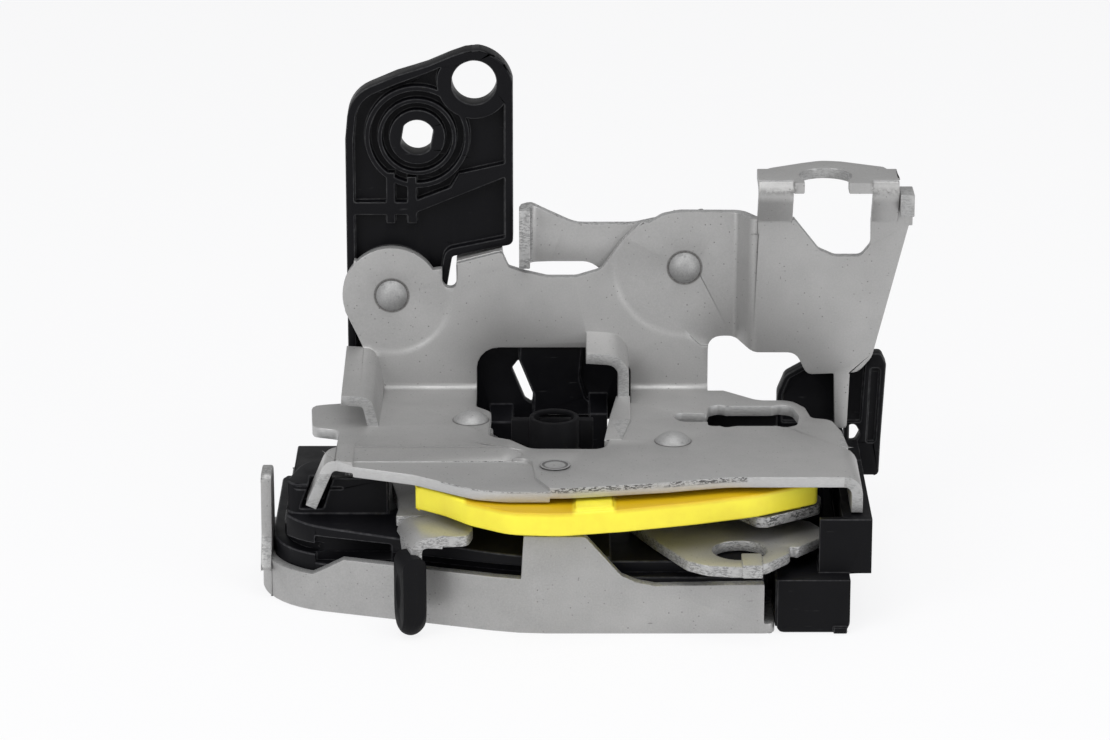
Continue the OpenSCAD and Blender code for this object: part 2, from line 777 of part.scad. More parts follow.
module mouth_buffer() {
    color([0.1, 0.1, 0.1])
    difference() {
        post([0, mouth_end + 1], 6.6, pocket_top + 1, 17);
        post([0, mouth_end + 1], 4.4, pocket_top + 4, 17);
        slab(0, 60) difference() {
            translate([-20, mouth_end - 20]) square([40, 40]);
            intersection() {
                mouth_plan(mouth_w - 2 * seat_gap, mouth_end + seat_gap);
                translate([-20, 0]) square([40, mouth_end + 7]);
            }
        }
    }
}

// Box of the position switch with its front corner at its place.
module switch_body() {
    translate([48, 31.5, housing_low]) cube([12, 12, 10.8]);
}

module switch_housing() {
    color([0.06, 0.06, 0.08])
    difference() {
        union() {
            // Upper box
            translate([switch_x, 5, plug_top - 0.2])
                cube([switch_end - switch_x, 40, switch_top - plug_top + 0.2]);
            // Connector shroud
            upright(0.4, 17) polygon(rounded([
                [plug_x, 0.2, 1.6], [plug_end, 0.2, 2.4], [plug_end, plug_top, 0], [plug_x, plug_top, 0]
            ]));
            // Rear box down to the face plate
            translate([50, 20.5, tray_t]) cube([tray_back_right - 50, 37, housing_low - tray_t]);
            translate([50, 44, tray_t]) cube([switch_end - 50, 14, 22.6]);
            translate([51.4, 57, tray_t]) cube([66.3 - 51.4, cover_y - 57, 22.6]);
            // Foot on the shroud's lower right edge
            translate([60.8, -0.4, 0.2]) cube([3, 1, 1.4]);
        }
        // Plug cavity, open to the right
        translate([plug_end - 11, 0.4 + switch_wall, 0.2 + switch_wall])
            cube([20, 17 - 2 * switch_wall, plug_top - 0.4 - 2 * switch_wall]);
        // Room for the levers' ends
        translate([switch_x - 1, 5 + switch_wall, 14]) cube([6, 60, switch_top - 14 + 1]);
        translate([49, 18, handle_z - run_gap]) cube([14, 26, 20]);
        for (p = fixing_places)
            post(p, fixing_r + 2.2, 1, 9);
    }
}

// Corner rows of the upright rear cover, as seen from the front.
cover_rows = [
    [51.2, 24.8, 0], [66.7, 24.8, 0], [66.7, 13, 1], [75, 13, 1], [75.3, 22, 0], [76.2, 40, 1.2],
    [75, 42.6, 1.2], [72.3, 42.5, 1], [57, 39.7, 2], [53, 37.4, 2.5], [51.2, 33, 3]
];

module switch_cover() {
    color([0.07, 0.07, 0.09])
    difference() {
        upright(cover_y, 4) polygon(rounded(cover_rows));
        // Sunk field inside the rim, and the narrow strip at its right
        upright(cover_y - 1, 2) polygon(rounded([
            [52.4, 26, 0.5], [70.6, 26, 0.5], [71.4, 41.2, 1], [57.4, 38.5, 2], [53.8, 36.4, 2],
            [52.4, 32.6, 2.4]
        ]));
        upright(cover_y - 1, 2)
            polygon(rounded([[72, 21, 0.5], [74, 21, 0.5], [74.8, 39, 0.5], [72.6, 39, 0.5]]));
        // D-shaped hole
        upright(cover_y - 1, 8) polygon(rounded([
            [68, 20.8, 0.4], [69.4, 20.8, 1.2], [70.6, 23.2, 1.6], [69.4, 25.4, 1.2], [68, 25.4, 0.4]
        ]));
    }
}

module contact_pins() {
    first = 4.4;
    pitch = (17 - 2 * first) / max(1, contact_count - 1);
    color("gold")
    for (i = [0:contact_count - 1])
        translate([plug_end - 14, first + 0.4 + i * pitch - contact_w / 2, contact_z - contact_w / 2])
            cube([12, contact_w, contact_w]);
}

module microswitch() {
    color([0.2, 0.2, 0.25])
    difference() {
        switch_body();
        bar_y([plunger_x, plunger_z], plunger_r + bore_gap, 30, 9);
    }
}

module switch_plunger() {
    color("ivory") bar_y([plunger_x, plunger_z], plunger_r, 26.3, 8.4);
}

module claw_spring() {
    color("darkgray") translate([claw_at.x, claw_at.y, pocket_top + 0.2]) coil(5.8, 0.7, 3, 0.5, 90, 200);
}

module pawl_spring() {
    color("darkgray") translate([pawl_at.x, pawl_at.y, pocket_top - 0.9]) coil(5.6, 0.6, 2, 0.5, 100, 210);
}

module handle_spring() {
    color("darkgray") translate([pawl_at.x, pawl_at.y, pawl_step + 0.6]) coil(6, 0.7, 3, 8, 60, 250);
}

module inner_spring() {
    color("darkgray") translate([claw_at.x, claw_at.y, rivet_step + 0.6]) coil(6, 0.7, 4, 8, 100, 250);
}

module release_spring() {
    color("darkgray") translate([release_at.x, release_back + 6.6, release_at.y]) rotate([90, 0, 0])
        coil(5.6, 0.8, 4, 11, 10, 160);
}

module arm_spring() {
    color("darkgray") translate([arm_at.x, arm_y + plate_t + 5.9, arm_at.y]) rotate([90, 0, 0])
        coil(5.6, 0.8, 3, 10, 10, 160);
}

// Plan of the claw about its own axis, standing open; trim draws in its hub and its side edges.
module claw_plan(r, hook_r, w, trim) {
    difference() {
        union() {
            circle(r = 12 - trim);
            intersection() {
                circle(r = r);
                slice(r, -80 + 5 * trim, claw_open);
            }
            intersection() {
                circle(r = hook_r);
                slice(r, claw_open - 1, claw_open + 62 - 5 * trim);
            }
        }
        rotate([0, 0, claw_open]) {
            translate([notch_at, -w / 2]) square([30, w]);
            translate([notch_at, 0]) circle(d = w);
        }
    }
}

module claw() {
    color("silver")
    translate([claw_at.x, claw_at.y, claw_z])
        difference() {
            linear_extrude(claw_t)
                difference() {
                    claw_plan(claw_r, claw_r - 3, notch_w + 2 * jacket_t, 0);
                    // Latching steps on the rim
                    difference() {
                        rotate([0, 0, 13]) square([40, 40]);
                        circle(r = claw_r - 4);
                        rotate([0, 0, claw_open]) square([60, 60]);
                    }
                    intersection() {
                        slice(claw_r, -16, -11);
                        difference() {
                            circle(r = 50);
                            circle(r = claw_r - 3);
                        }
                    }
                }
            translate([0, 0, -1]) cylinder(r = shaft_r + bore_gap, h = claw_t + 2);
        }
}

module claw_jacket() {
    color([0.1, 0.1, 0.12])
    difference() {
        translate([claw_at.x, claw_at.y, claw_z - jacket_t])
            linear_extrude(claw_t + 2 * jacket_t)
                difference() {
                    claw_plan(claw_r - 4.5, claw_r - 5, notch_w, 1);
                    circle(r = 7.5);
                }
        claw_core();
    }
}

// The steel of the claw as a cutter for its jacket.
module claw_core() {
    translate([claw_at.x, claw_at.y, claw_z])
        linear_extrude(claw_t) claw_plan(claw_r, claw_r - 3, notch_w + 2 * jacket_t, 0);
}

module pawl_plan(d) {
    difference() {
        polygon(rounded([
            [9 - d, 3, 3], [6, 9 - d, 5], [-10, 7.5 - d, 4], [-21, 5.5 - d, 1], [-27, -2, 0.5],
            [-26, -4.6 + d, 1.5], [-12, -6 + d, 4], [-5, -9 + d, 5], [6, -9 + d, 5], [9 - d, -3, 3]
        ]));
        translate(claw_at - pawl_at) circle(r = claw_r + run_gap);
    }
}

module pawl() {
    color("silver")
    translate([pawl_at.x, pawl_at.y, claw_z])
        difference() {
            linear_extrude(claw_t) pawl_plan(0);
            translate([0, 0, -1]) cylinder(r = shaft_r + bore_gap, h = claw_t + 2);
        }
}

module pawl_jacket() {
    color([0.1, 0.1, 0.12])
    translate([pawl_at.x, pawl_at.y, claw_z + claw_t])
        linear_extrude(jacket_t)
            difference() {
                pawl_plan(1.2);
                circle(r = 7);
                translate([-40, -20]) square([24, 40]);
            }
}

// Front view of the release lever.
release_corners = [
    [-9.6, 67, 1.5], [-9.6, 114.8, 8], [-18, 114.6, 3], [-46.8, 102.2, 10], [-47.8, 92, 0], [-47.8, 38, 2],
    [-41.5, 33.6 + 1, 3], [-36, 36, 3], [-26, 50, 6], [-23.6, 64.1, 0.8]
];

module double_d(place, r, flat) {
    translate(place) rotate([0, 0, -10])
        intersection() {
            circle(r = r);
            translate([-flat / 2, -r]) square([flat, 2 * r]);
        }
}

module ring_2d(place, r, w) {
    translate(place) difference() {
        circle(r = r);
        circle(r = r - w);
    }
}

module release_lever() {
    rib_t = release_t - release_web;
    color([0.09, 0.09, 0.11])
    difference() {
        union() {
            upright(lever_y + rib_t, release_web) polygon(rounded(release_corners));
            // Rim round the outline and the raised field at the eye
            upright(lever_y, rib_t + 1) difference() {
                polygon(rounded(release_corners));
                polygon(rounded(release_inner()));
            }
            upright(lever_y, rib_t + 1) intersection() {
                polygon(rounded(release_corners));
                union() {
                    translate(eye_at) circle(r = eye_r + 3.4);
                    ring_2d(dd_at, 12, 1.2);
                    ring_2d(dd_at, 9, 1);
                    translate(dd_at) circle(r = 6.4);
                    translate(release_at) circle(r = 10.5);
                    translate([-38.6, 72]) square([2, 12]);
                    translate([-33.8, 72]) square([2.2, 11]);
                    polygon([
                        [-46, 74], [-33, 74], [-10, 83.5], [-10, 86.5], [-22, 83.8], [-24, 80.5], [-33, 77],
                        [-46, 77]
                    ]);
                }
            }
        }
        bar_y(eye_at, eye_r, lever_y - 1, release_t + 2);
        upright(lever_y - 1, release_t + 2) double_d(dd_at, dd_r, dd_flat);
        bar_y(release_at, rivet_r + 1.6, lever_y - 1, release_t + 2);
    }
}

// Corners of the recess inside the release lever's rim, taken from its outline.
function release_inner() = inset(release_corners, 1.9);

module release_bush() {
    color("darkgray")
    difference() {
        bar_y(release_at, rivet_r + 1.6, lever_y, release_t);
        bar_y(release_at, rivet_r + bore_gap, lever_y - 1, release_t + 2);
    }
}

// Steel arm whose left end turns forward into a flange.
module pull_arm() {
    flange_z = 62.6;
    flange_top = flange_z + arm_flange_h;
    path = rounded([
        [70, arm_y + plate_t, 0], [arm_end, arm_y + plate_t, 4], [arm_end, arm_y + plate_t - arm_flange, 0]
    ]);
    color("silver")
    difference() {
        intersection() {
            slab(0, 100) polygon(sheet_section(path, plate_t));
            upright(arm_y - arm_flange, arm_flange + 2 * plate_t) polygon(rounded([
                [arm_end - 1, flange_z, 0], [-1, 62.9, 3], [8, 62.9, 5], [13, 59, 6], [30, 50, 10],
                [41, 58, 8], [40.5, 70, 8], [30, 74.5, 8], [18, 71.8, 10], [4.6, 71.8, 8], [-3.1, 75.4, 5],
                [-5.4, flange_top, 3], [arm_end - 1, flange_top, 0]
            ]));
        }
        bar_y(arm_at, rivet_r + bore_gap, arm_y - 1, plate_t + 2);
    }
}

module lock_lever() {
    color("gold")
    difference() {
        union() {
            slab(lock_z, lock_t) polygon(rounded([
                [-30.6, 13, 1], [-24.2, 8, 6], [-18.7, 2, 8], [-10, -3.9, 10], [1, -4.9, 14], [15, -2, 20],
                [31, 2.7, 20], [44, 7.4, 20], [58, 16.2, 2], [57, 21.6, 2], [50, 22, 3], [40, 18.2, 8],
                [26, 17, 8], [8, 21.5, 6], [-8, 22, 6], [-20, 19.5, 6], [-30.6, 18, 2]
            ]));
            slab(lock_z, plate_z - run_gap - lock_z - emboss / 2) polygon(rounded([
                [4.3, -3.4, 1], [12.6, -1.7, 1], [12.6, 6, 1], [4.3, 6, 1]
            ]));
            post(lock_at, lock_pin_r + 2.6, lock_z - 1, lock_t + 1);
            post(drive_at, drive_r, link_z - 0.2, lock_z - link_z + 0.4);
        }
        post(lock_at, lock_pin_r + bore_gap, lock_z - 2, lock_t + 4);
    }
}

module link_lever() {
    along = atan2(drive_at.y - pawl_at.y, drive_at.x - pawl_at.x);
    hub_z = handle_z + lever_t + run_gap;
    color("dimgray") {
        // Hub that keeps it over the handle lever
        difference() {
            post(pawl_at, shaft_r + 1.4, hub_z, link_z - hub_z + 0.5);
            post(pawl_at, shaft_r + bore_gap, hub_z - 1, link_z - hub_z + 3);
        }
        slab(link_z, lever_t) difference() {
            union() {
                translate(pawl_at) circle(r = 8);
                polygon(rounded([
                    [pawl_at.x, pawl_at.y - 8, 0], [38, 17, 4], [44.2, 8.4, 2], [46.5, 8.6, 1],
                    [58.4, 17, 2.5], [59, 22, 2], [57, 26, 2], [50, 26, 3],
                    [pawl_at.x + 3, pawl_at.y + 7.4, 0]
                ]));
            }
            translate(pawl_at) circle(r = shaft_r + bore_gap);
            translate(drive_at) rotate([0, 0, along])
                polygon(rounded([
                    [-drive_r - 3, -drive_r - 0.4, 2.5], [drive_r + 1.2, -drive_r - 0.4, 2.5],
                    [drive_r + 1.2, drive_r + 0.4, 2.5], [-drive_r - 3, drive_r + 0.4, 2.5]
                ]));
        }
    }
}

module handle_lever() {
    color("silver")
    difference() {
        union() {
            slab(handle_z, lever_t) difference() {
                union() {
                    translate(pawl_at) circle(r = 9);
                    polygon(rounded([
                        [18, 30, 4], [16.4, 22.5, 3], [21.5, 11.5, 4], [28.6, -2.4, 5], [33, -5.6, 5],
                        [40.3, -6.8, 6], [46, -4.2, 4], [51.3, 2.6, 4], [51.2, 6.6, 1], [53, 5.8, 0.8],
                        [58.7, 12.6, 2], [59, 18, 3], [56.5, 23, 3], [40, 29.5, 6], [34, 36, 4]
                    ]));
                }
                translate(rod_at) circle(r = rod_r);
            }
            // Tongue across the front of the rod hole
            translate([rod_at.x + 0.2, -6.9, handle_z]) cube([4.4, 1.6, lever_t + 0.5]);
            translate([rod_at.x + 0.2, -6.9, handle_z + lever_t - 1]) cube([4.4, 7.8, 1.5]);
        }
        post(pawl_at, shaft_r + bore_gap, handle_z - 1, lever_t + 2);
    }
}

// Places its children on the inner lever's bent edge: along it, inwards from it, and up.
module on_tab() {
    translate([tab_at.x, tab_at.y, 0]) rotate([0, 0, tab_turn]) children();
}

// The inner lever's tab, bent down from its left edge.
module bent_tab(grow) {
    on_tab() intersection() {
        rotate([90, 0, 90]) translate([0, 0, -grow]) linear_extrude(tab_run + 2 * grow) mirror([1, 0])
            polygon(sheet_section(rounded([
                [-grow, foot_z - grow, 0], [-grow, inner_z + lever_t, tab_bend], [8, inner_z + lever_t, 0]
            ]), -lever_t - 2 * grow));
        translate([0, -20, 0]) rotate([90, 0, 0]) translate([0, 0, -40]) linear_extrude(60)
            polygon([
                [-1, foot_z - 1], [8.2, foot_z - 1], [11, inner_z - 0.6], [tab_run + 1, inner_z - 0.6],
                [tab_run + 1, 40], [-1, 40]
            ]);
    }
}

module inner_lever() {
    color("silver")
    difference() {
        union() {
            slab(inner_z, lever_t) union() {
                translate(claw_at) circle(r = 9);
                polygon(rounded([
                    [-36.9, 37.4, 6], [-34.4, 21, 8], [-35, 13.6, 0.6], [-31.6, 13.6, 0], [-28, 0.2, 0],
                    [-24, 0.2, 1], [-18.9, 0.8, 2], [-17.8, 6, 3], [-21, 13, 8], [-22.5, 24, 10],
                    [-10, 44, 0], [-19, 56, 0], [-30, 50, 8]
                ]));
            }
            bent_tab(0);
        }
        post(claw_at, shaft_r + bore_gap, inner_z - 1, lever_t + 2);
    }
}

// Oval rubber clip that hugs the front foot of the bent tab.
module rod_clip() {
    wide = 5.3;
    deep = 7;
    corner = wide * 0.45;
    color([0.07, 0.07, 0.07])
    difference() {
        translate([-32.7, -5.2, 0]) rotate([0, 0, 21]) upright(0, deep) polygon(rounded([
            [0, clip_z, corner], [wide, clip_z, corner], [wide, 19, corner], [0, 19, corner]
        ]));
        bent_tab(seat_gap);
    }
}

face_plate();
lock_plate();
lock_housing();
housing_cover();
claw_pivot();
pawl_pivot();
claw_sleeve();
pawl_sleeve();
release_rivet();
arm_rivet();
release_washer();
arm_washer();
lever_pin();
mouth_buffer();
switch_housing();
switch_cover();
contact_pins();
microswitch();
claw_spring();
pawl_spring();
handle_spring();
inner_spring();
release_spring();
arm_spring();
claw();
claw_jacket();
pawl();
pawl_jacket();
release_lever();
release_bush();
pull_arm();
lock_lever();
link_lever();
handle_lever();
inner_lever();
rod_clip();
switch_plunger();
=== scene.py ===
"""Looks of a car door lock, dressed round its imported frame.

The frame holds the lock's solids in their true places. This script rounds their edges, tells sheared
edges from rolled faces, gives every piece its finish, and sets up a plain studio with the camera.
"""

from __future__ import annotations

import json
import logging
import math
from collections.abc import Callable, Iterable
from dataclasses import dataclass, field
from enum import Enum

import bpy
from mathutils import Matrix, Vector

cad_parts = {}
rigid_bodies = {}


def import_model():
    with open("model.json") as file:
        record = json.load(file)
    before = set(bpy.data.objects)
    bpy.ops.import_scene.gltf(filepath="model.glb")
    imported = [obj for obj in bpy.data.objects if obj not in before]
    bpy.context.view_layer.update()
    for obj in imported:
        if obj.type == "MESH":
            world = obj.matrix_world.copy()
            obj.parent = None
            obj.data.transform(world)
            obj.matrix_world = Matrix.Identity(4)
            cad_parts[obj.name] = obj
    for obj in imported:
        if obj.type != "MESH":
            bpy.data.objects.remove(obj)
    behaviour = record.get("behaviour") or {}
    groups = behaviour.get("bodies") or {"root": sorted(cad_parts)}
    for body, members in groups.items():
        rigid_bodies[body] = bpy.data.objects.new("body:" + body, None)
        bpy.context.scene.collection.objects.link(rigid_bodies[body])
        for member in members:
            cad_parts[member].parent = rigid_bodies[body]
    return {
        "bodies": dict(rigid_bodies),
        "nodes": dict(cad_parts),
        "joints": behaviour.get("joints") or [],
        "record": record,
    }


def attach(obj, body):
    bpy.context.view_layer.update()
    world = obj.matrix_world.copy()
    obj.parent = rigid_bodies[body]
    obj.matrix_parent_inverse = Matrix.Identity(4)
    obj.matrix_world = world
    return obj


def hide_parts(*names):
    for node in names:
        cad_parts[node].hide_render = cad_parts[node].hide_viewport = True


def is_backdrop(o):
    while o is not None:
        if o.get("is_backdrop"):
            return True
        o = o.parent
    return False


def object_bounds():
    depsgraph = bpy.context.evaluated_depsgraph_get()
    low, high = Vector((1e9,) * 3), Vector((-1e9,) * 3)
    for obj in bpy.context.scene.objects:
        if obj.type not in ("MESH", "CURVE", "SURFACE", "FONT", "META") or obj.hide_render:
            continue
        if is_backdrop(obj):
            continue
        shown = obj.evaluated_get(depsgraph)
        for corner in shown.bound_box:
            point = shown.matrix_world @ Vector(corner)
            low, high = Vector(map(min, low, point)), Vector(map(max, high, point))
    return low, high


LOG = logging.getLogger("door_lock")
MM = 0.001
Reach = tuple[float | None, float | None, float | None]
Box = tuple[Reach, Reach]
Corner = tuple[float, float, float]
Brick = tuple[Corner, Corner]
Pair = tuple[float, float]
Colour = tuple[float, float, float]
Ring = tuple[str, float, float, float]
Socket = bpy.types.NodeSocket
DRUM_SIDES = 96
BALL_SIDES = 32
BALL_RINGS = 24


class Grain(Enum):
    """How a moulded surface was left by its tool."""

    FINE = 2600.0
    COARSE = 1500.0


class Tree:
    """Builds the node tree of one material."""

    def __init__(self, name: str) -> None:
        """Start a material with its shader and its object coordinates.

        Args:
            name: Name of the material.
        """
        self.material = bpy.data.materials.new(name)
        self.material.use_nodes = True
        self.nodes = self.material.node_tree.nodes
        self.links = self.material.node_tree.links
        self.shader = self.nodes["Principled BSDF"]
        self.place = self.nodes.new("ShaderNodeTexCoord").outputs["Object"]
        self.split = self.nodes.new("ShaderNodeSeparateXYZ")
        self.links.new(self.place, self.split.inputs["Vector"])

    def zone(self, low: Reach, high: Reach, soft: float = 0.5) -> Socket:
        """Give one inside a box and zero outside it.

        Args:
            low: Lowest corner in millimetres, with None where the box is open.
            high: Highest corner in millimetres, with None where the box is open.
            soft: Half width of the box's soft border in millimetres.

        Returns:
            The share of the box at each point.
        """
        inside = None
        for name, start, end in zip("XYZ", low, high):
            for border, first, last in ((start, 0.0, 1.0), (end, 1.0, 0.0)):
                if border is None:
                    continue
                near, far = (border - soft) * MM, (border + soft) * MM
                step = self.ramp(self.split.outputs[name], near, far, first, last)
                inside = self.maths("MULTIPLY", inside, step) if inside else step
        return inside

    def ring(self, plane: str, x: float, y: float, radius: float, width: float = 0.45,
             core: float = 0.4) -> Socket:
        """Give one on a ring and zero away from it.

        Args:
            plane: The two axes across the ring's own axis.
            x: Place of its axis along the first of them in millimetres.
            y: Place of its axis along the second in millimetres.
            radius: Its radius in millimetres.
            width: Half its width in millimetres.
            core: Share of the width at full strength.

        Returns:
            The ring's strength.
        """
        squares = []
        for name, centre in zip(plane, (x, y)):
            offset = self.maths("SUBTRACT", self.split.outputs[name], centre * MM)
            squares.append(self.maths("MULTIPLY", offset, offset))
        distance = self.maths("SQRT", self.maths("ADD", *squares), 0.0)
        away = self.maths("ABSOLUTE", self.maths("SUBTRACT", distance, radius * MM), 0.0)
        return self.ramp(away, width * core * MM, width * MM, 1.0, 0.0)

    def specks(self, scale: float, size: float, core: float = 0.6) -> Socket:
        """Scatter small round specks.

        Args:
            scale: Cells per metre, with at most one speck in each.
            size: Radius of a speck as a share of its cell.
            core: Share of the radius at full strength.

        Returns:
            The specks' strength.
        """
        node = self.nodes.new("ShaderNodeTexVoronoi")
        node.inputs["Scale"].default_value = scale
        self.links.new(self.place, node.inputs["Vector"])
        return self.ramp(node.outputs["Distance"], size * core, size, 1.0, 0.0)

    def stretched(self, scale: Corner, turn: Corner = (0, 0, 0)) -> Socket:
        """Stretch and turn the coordinates.

        Args:
            scale: Scale along each axis.
            turn: Turn about each axis in degrees.

        Returns:
            The mapped coordinates.
        """
        mapping = self.nodes.new("ShaderNodeMapping")
        mapping.inputs["Scale"].default_value = scale
        mapping.inputs["Rotation"].default_value = [math.radians(a) for a in turn]
        self.links.new(self.place, mapping.inputs["Vector"])
        return mapping.outputs["Vector"]

    def noise(self, scale: float, detail: float = 3.0, rough: float = 0.55,
              place: Socket | None = None) -> Socket:
        """Add a noise pattern.

        Args:
            scale: Cycles per metre.
            detail: Octaves of the noise.
            rough: Strength of the finer octaves.
            place: Coordinates, or the object's own.

        Returns:
            The noise value.
        """
        node = self.nodes.new("ShaderNodeTexNoise")
        node.inputs["Scale"].default_value = scale
        node.inputs["Detail"].default_value = detail
        node.inputs["Roughness"].default_value = rough
        self.links.new(place or self.place, node.inputs["Vector"])
        return node.outputs["Fac"]

    def ramp(self, value: Socket, low: float, high: float, start: float = 0.0,
             end: float = 1.0) -> Socket:
        """Spread part of a value's range over another range.

        Args:
            value: The value.
            low: Where the spread starts.
            high: Where the spread ends.
            start: Result at the start.
            end: Result at the end.

        Returns:
            The spread value, held between its ends.
        """
        node = self.nodes.new("ShaderNodeMapRange")
        for name, number in (("From Min", low), ("From Max", high), ("To Min", start), ("To Max", end)):
            node.inputs[name].default_value = number
        self.links.new(value, node.inputs["Value"])
        return node.outputs["Result"]

    def maths(self, operation: str, a: Socket, b: Socket | float) -> Socket:
        """Combine two values.

        Args:
            operation: Name of the Math node's operation.
            a: The first value.
            b: The second value.

        Returns:
            The result.
        """
        node = self.nodes.new("ShaderNodeMath")
        node.operation = operation
        self.links.new(a, node.inputs[0])
        if isinstance(b, float):
            node.inputs[1].default_value = b
        else:
            self.links.new(b, node.inputs[1])
        return node.outputs["Value"]

    def blend(self, amount: Socket, low: Socket | Colour, high: Socket | Colour) -> Socket:
        """Blend two colours.

        Args:
            amount: How much of the second colour shows.
            low: The first colour.
            high: The second colour.

        Returns:
            The blended colour.
        """
        node = self.nodes.new("ShaderNodeMix")
        node.data_type = "RGBA"
        self.links.new(amount, node.inputs["Factor"])
        for socket, colour in ((node.inputs["A"], low), (node.inputs["B"], high)):
            if isinstance(colour, tuple):
                socket.default_value = (*colour, 1.0)
            else:
                self.links.new(colour, socket)
        return node.outputs["Result"]

    def bump(self, height: Socket, depth: float, strength: float = 1.0) -> None:
        """Roughen the surface by a height pattern.

        Args:
            height: The height value.
            depth: Height in metres at a value of one.
            strength: Strength of the effect.
        """
        node = self.nodes.new("ShaderNodeBump")
        node.inputs["Distance"].default_value = depth
        node.inputs["Strength"].default_value = strength
        self.links.new(height, node.inputs["Height"])
        normal = self.shader.inputs["Normal"]
        if normal.is_linked:
            self.links.new(normal.links[0].from_socket, node.inputs["Normal"])
        self.links.new(node.outputs["Normal"], normal)

    def feed(self, socket: str, value: Socket | float | Colour) -> None:
        """Set or link one socket of the shader.

        Args:
            socket: Name of the shader's socket.
            value: A pattern, a number or a colour.
        """
        target = self.shader.inputs[socket]
        if isinstance(value, tuple):
            target.default_value = (*value, 1.0)
        elif isinstance(value, float):
            target.default_value = value
        else:
            self.links.new(value, target)


def grey(level: float, warmth: float = 0.0) -> Colour:
    """Give a grey as a colour.

    Args:
        level: Its level.
        warmth: How much redder than blue it is.

    Returns:
        The colour.
    """
    return (level + warmth, level, level - warmth)


@dataclass(frozen=True)
class PlatedSheet:
    """Rolled sheet with a dull plating: fine grain, faint clouds, dark specks, a few scratches and, where
    rings are given, painted contact shadows round rivet heads.
    """

    name: str
    level: float
    slot: str
    contrast: float = 0.06
    roughness: float = 0.46
    metallic: float = 0.62
    grain: float = 2600.0
    cloud: float = 110.0
    cracked: tuple[Box, ...] = ()
    shadow_rings: tuple[Ring, ...] = ()
    spread: Pair = (0.36, 0.64)
    specks: Pair = (640.0, 0.13)
    mark_share: float = 0.42
    crack_share: float = 0.2
    rivet_shadow_share: float = 0.28
    grain_mm: float = 0.03
    cloud_mm: float = 0.10

    def material(self) -> bpy.types.Material:
        """Build the finish."""
        tree = Tree(self.name)
        fine = tree.noise(self.grain, 3.0, 0.6)
        clouds = tree.noise(self.cloud, 4.0, 0.6)
        mixed = tree.maths("ADD", tree.maths("MULTIPLY", fine, 0.5), tree.maths("MULTIPLY", clouds, 0.5))
        base = tree.blend(tree.ramp(mixed, *self.spread), grey(self.level * (1 - self.contrast), 0.002),
                          grey(self.level * (1 + self.contrast), 0.003))
        specks = tree.maths("MULTIPLY", tree.specks(*self.specks), tree.ramp(clouds, 0.38, 0.6, 0.25, 0.9))
        marks = tree.maths("MAXIMUM", specks, self.scratches(tree))
        marked = tree.blend(marks, base, grey(self.level * self.mark_share, 0.004))
        for low, high in self.cracked:
            flakes = tree.ramp(tree.noise(1300.0, 5.0, 0.7), 0.46, 0.52)
            bared = tree.maths("MULTIPLY", flakes, tree.zone(low, high, 0.7))
            marked = tree.blend(bared, marked, grey(self.level * self.crack_share, 0.004))
        # Painted shadow: each listed ring round a rivet head is darkened to stand in for the contact shadow
        # in the gap.
        for ring in self.shadow_rings:
            rivet_shadow = tree.maths("MULTIPLY", tree.ring(*ring), tree.ramp(fine, 0.3, 0.6, 0.55, 0.9))
            marked = tree.blend(rivet_shadow, marked, grey(self.level * self.rivet_shadow_share, 0.004))
        tree.feed("Base Color", marked)
        tree.feed("Metallic", self.metallic)
        tree.feed("Roughness", tree.ramp(mixed, *self.spread, self.roughness + 0.07, self.roughness - 0.04))
        tree.bump(fine, self.grain_mm * MM, 0.6)
        tree.bump(clouds, self.cloud_mm * MM, 0.35)
        return tree.material

    def scratches(self, tree: Tree) -> Socket:
        """Give short thin scratches in two directions.

        Args:
            tree: The material's tree.

        Returns:
            The scratches' strength.
        """
        first = tree.noise(1.0, 2.0, 0.5, tree.stretched((190, 2300, 1500), (0, 0, 24)))
        second = tree.noise(1.0, 2.0, 0.5, tree.stretched((1700, 1500, 230), (0, 62, -17)))
        lines = tree.maths("MAXIMUM", tree.ramp(first, 0.74, 0.78, 0.0, 0.8),
                           tree.ramp(second, 0.74, 0.78, 0.0, 0.7))
        return tree.maths("MULTIPLY", lines, tree.ramp(tree.noise(75.0), 0.52, 0.58))


@dataclass(frozen=True)
class ShearedEdge:
    """Cut edge of a plated sheet: a smooth sheared band, and a torn band broken by dark specks."""

    name: str
    level: float
    slot: str
    torn: Box = ((None, None, -100.0), (None, None, None))
    strength: float = 1.0
    contrast: float = 0.07
    torn_share: float = 0.2
    grain_mm: float = 0.07

    def material(self) -> bpy.types.Material:
        """Build the finish."""
        tree = Tree(self.name)
        rough = tree.noise(1.0, 4.0, 0.7, tree.stretched((1000, 1000, 2900)))
        ragged = tree.noise(330.0, 3.0, 0.6)
        worn = tree.maths("MULTIPLY", tree.ramp(rough, 0.46, 0.53),
                          tree.ramp(ragged, 0.36, 0.5, 0.3, 1.0))
        band = tree.maths("MULTIPLY", tree.zone(*self.torn, 0.25), self.strength)
        smooth = tree.blend(tree.ramp(rough, 0.4, 0.6), grey(self.level * (1 - self.contrast)),
                            grey(self.level * (1 + self.contrast)))
        colour = tree.blend(tree.maths("MULTIPLY", worn, band), smooth, grey(self.level * self.torn_share))
        tree.feed("Base Color", colour)
        tree.feed("Metallic", 0.6)
        tree.feed("Roughness", tree.ramp(worn, 0.0, 1.0, 0.42, 0.62))
        tree.bump(rough, self.grain_mm * MM, 0.8)
        return tree.material


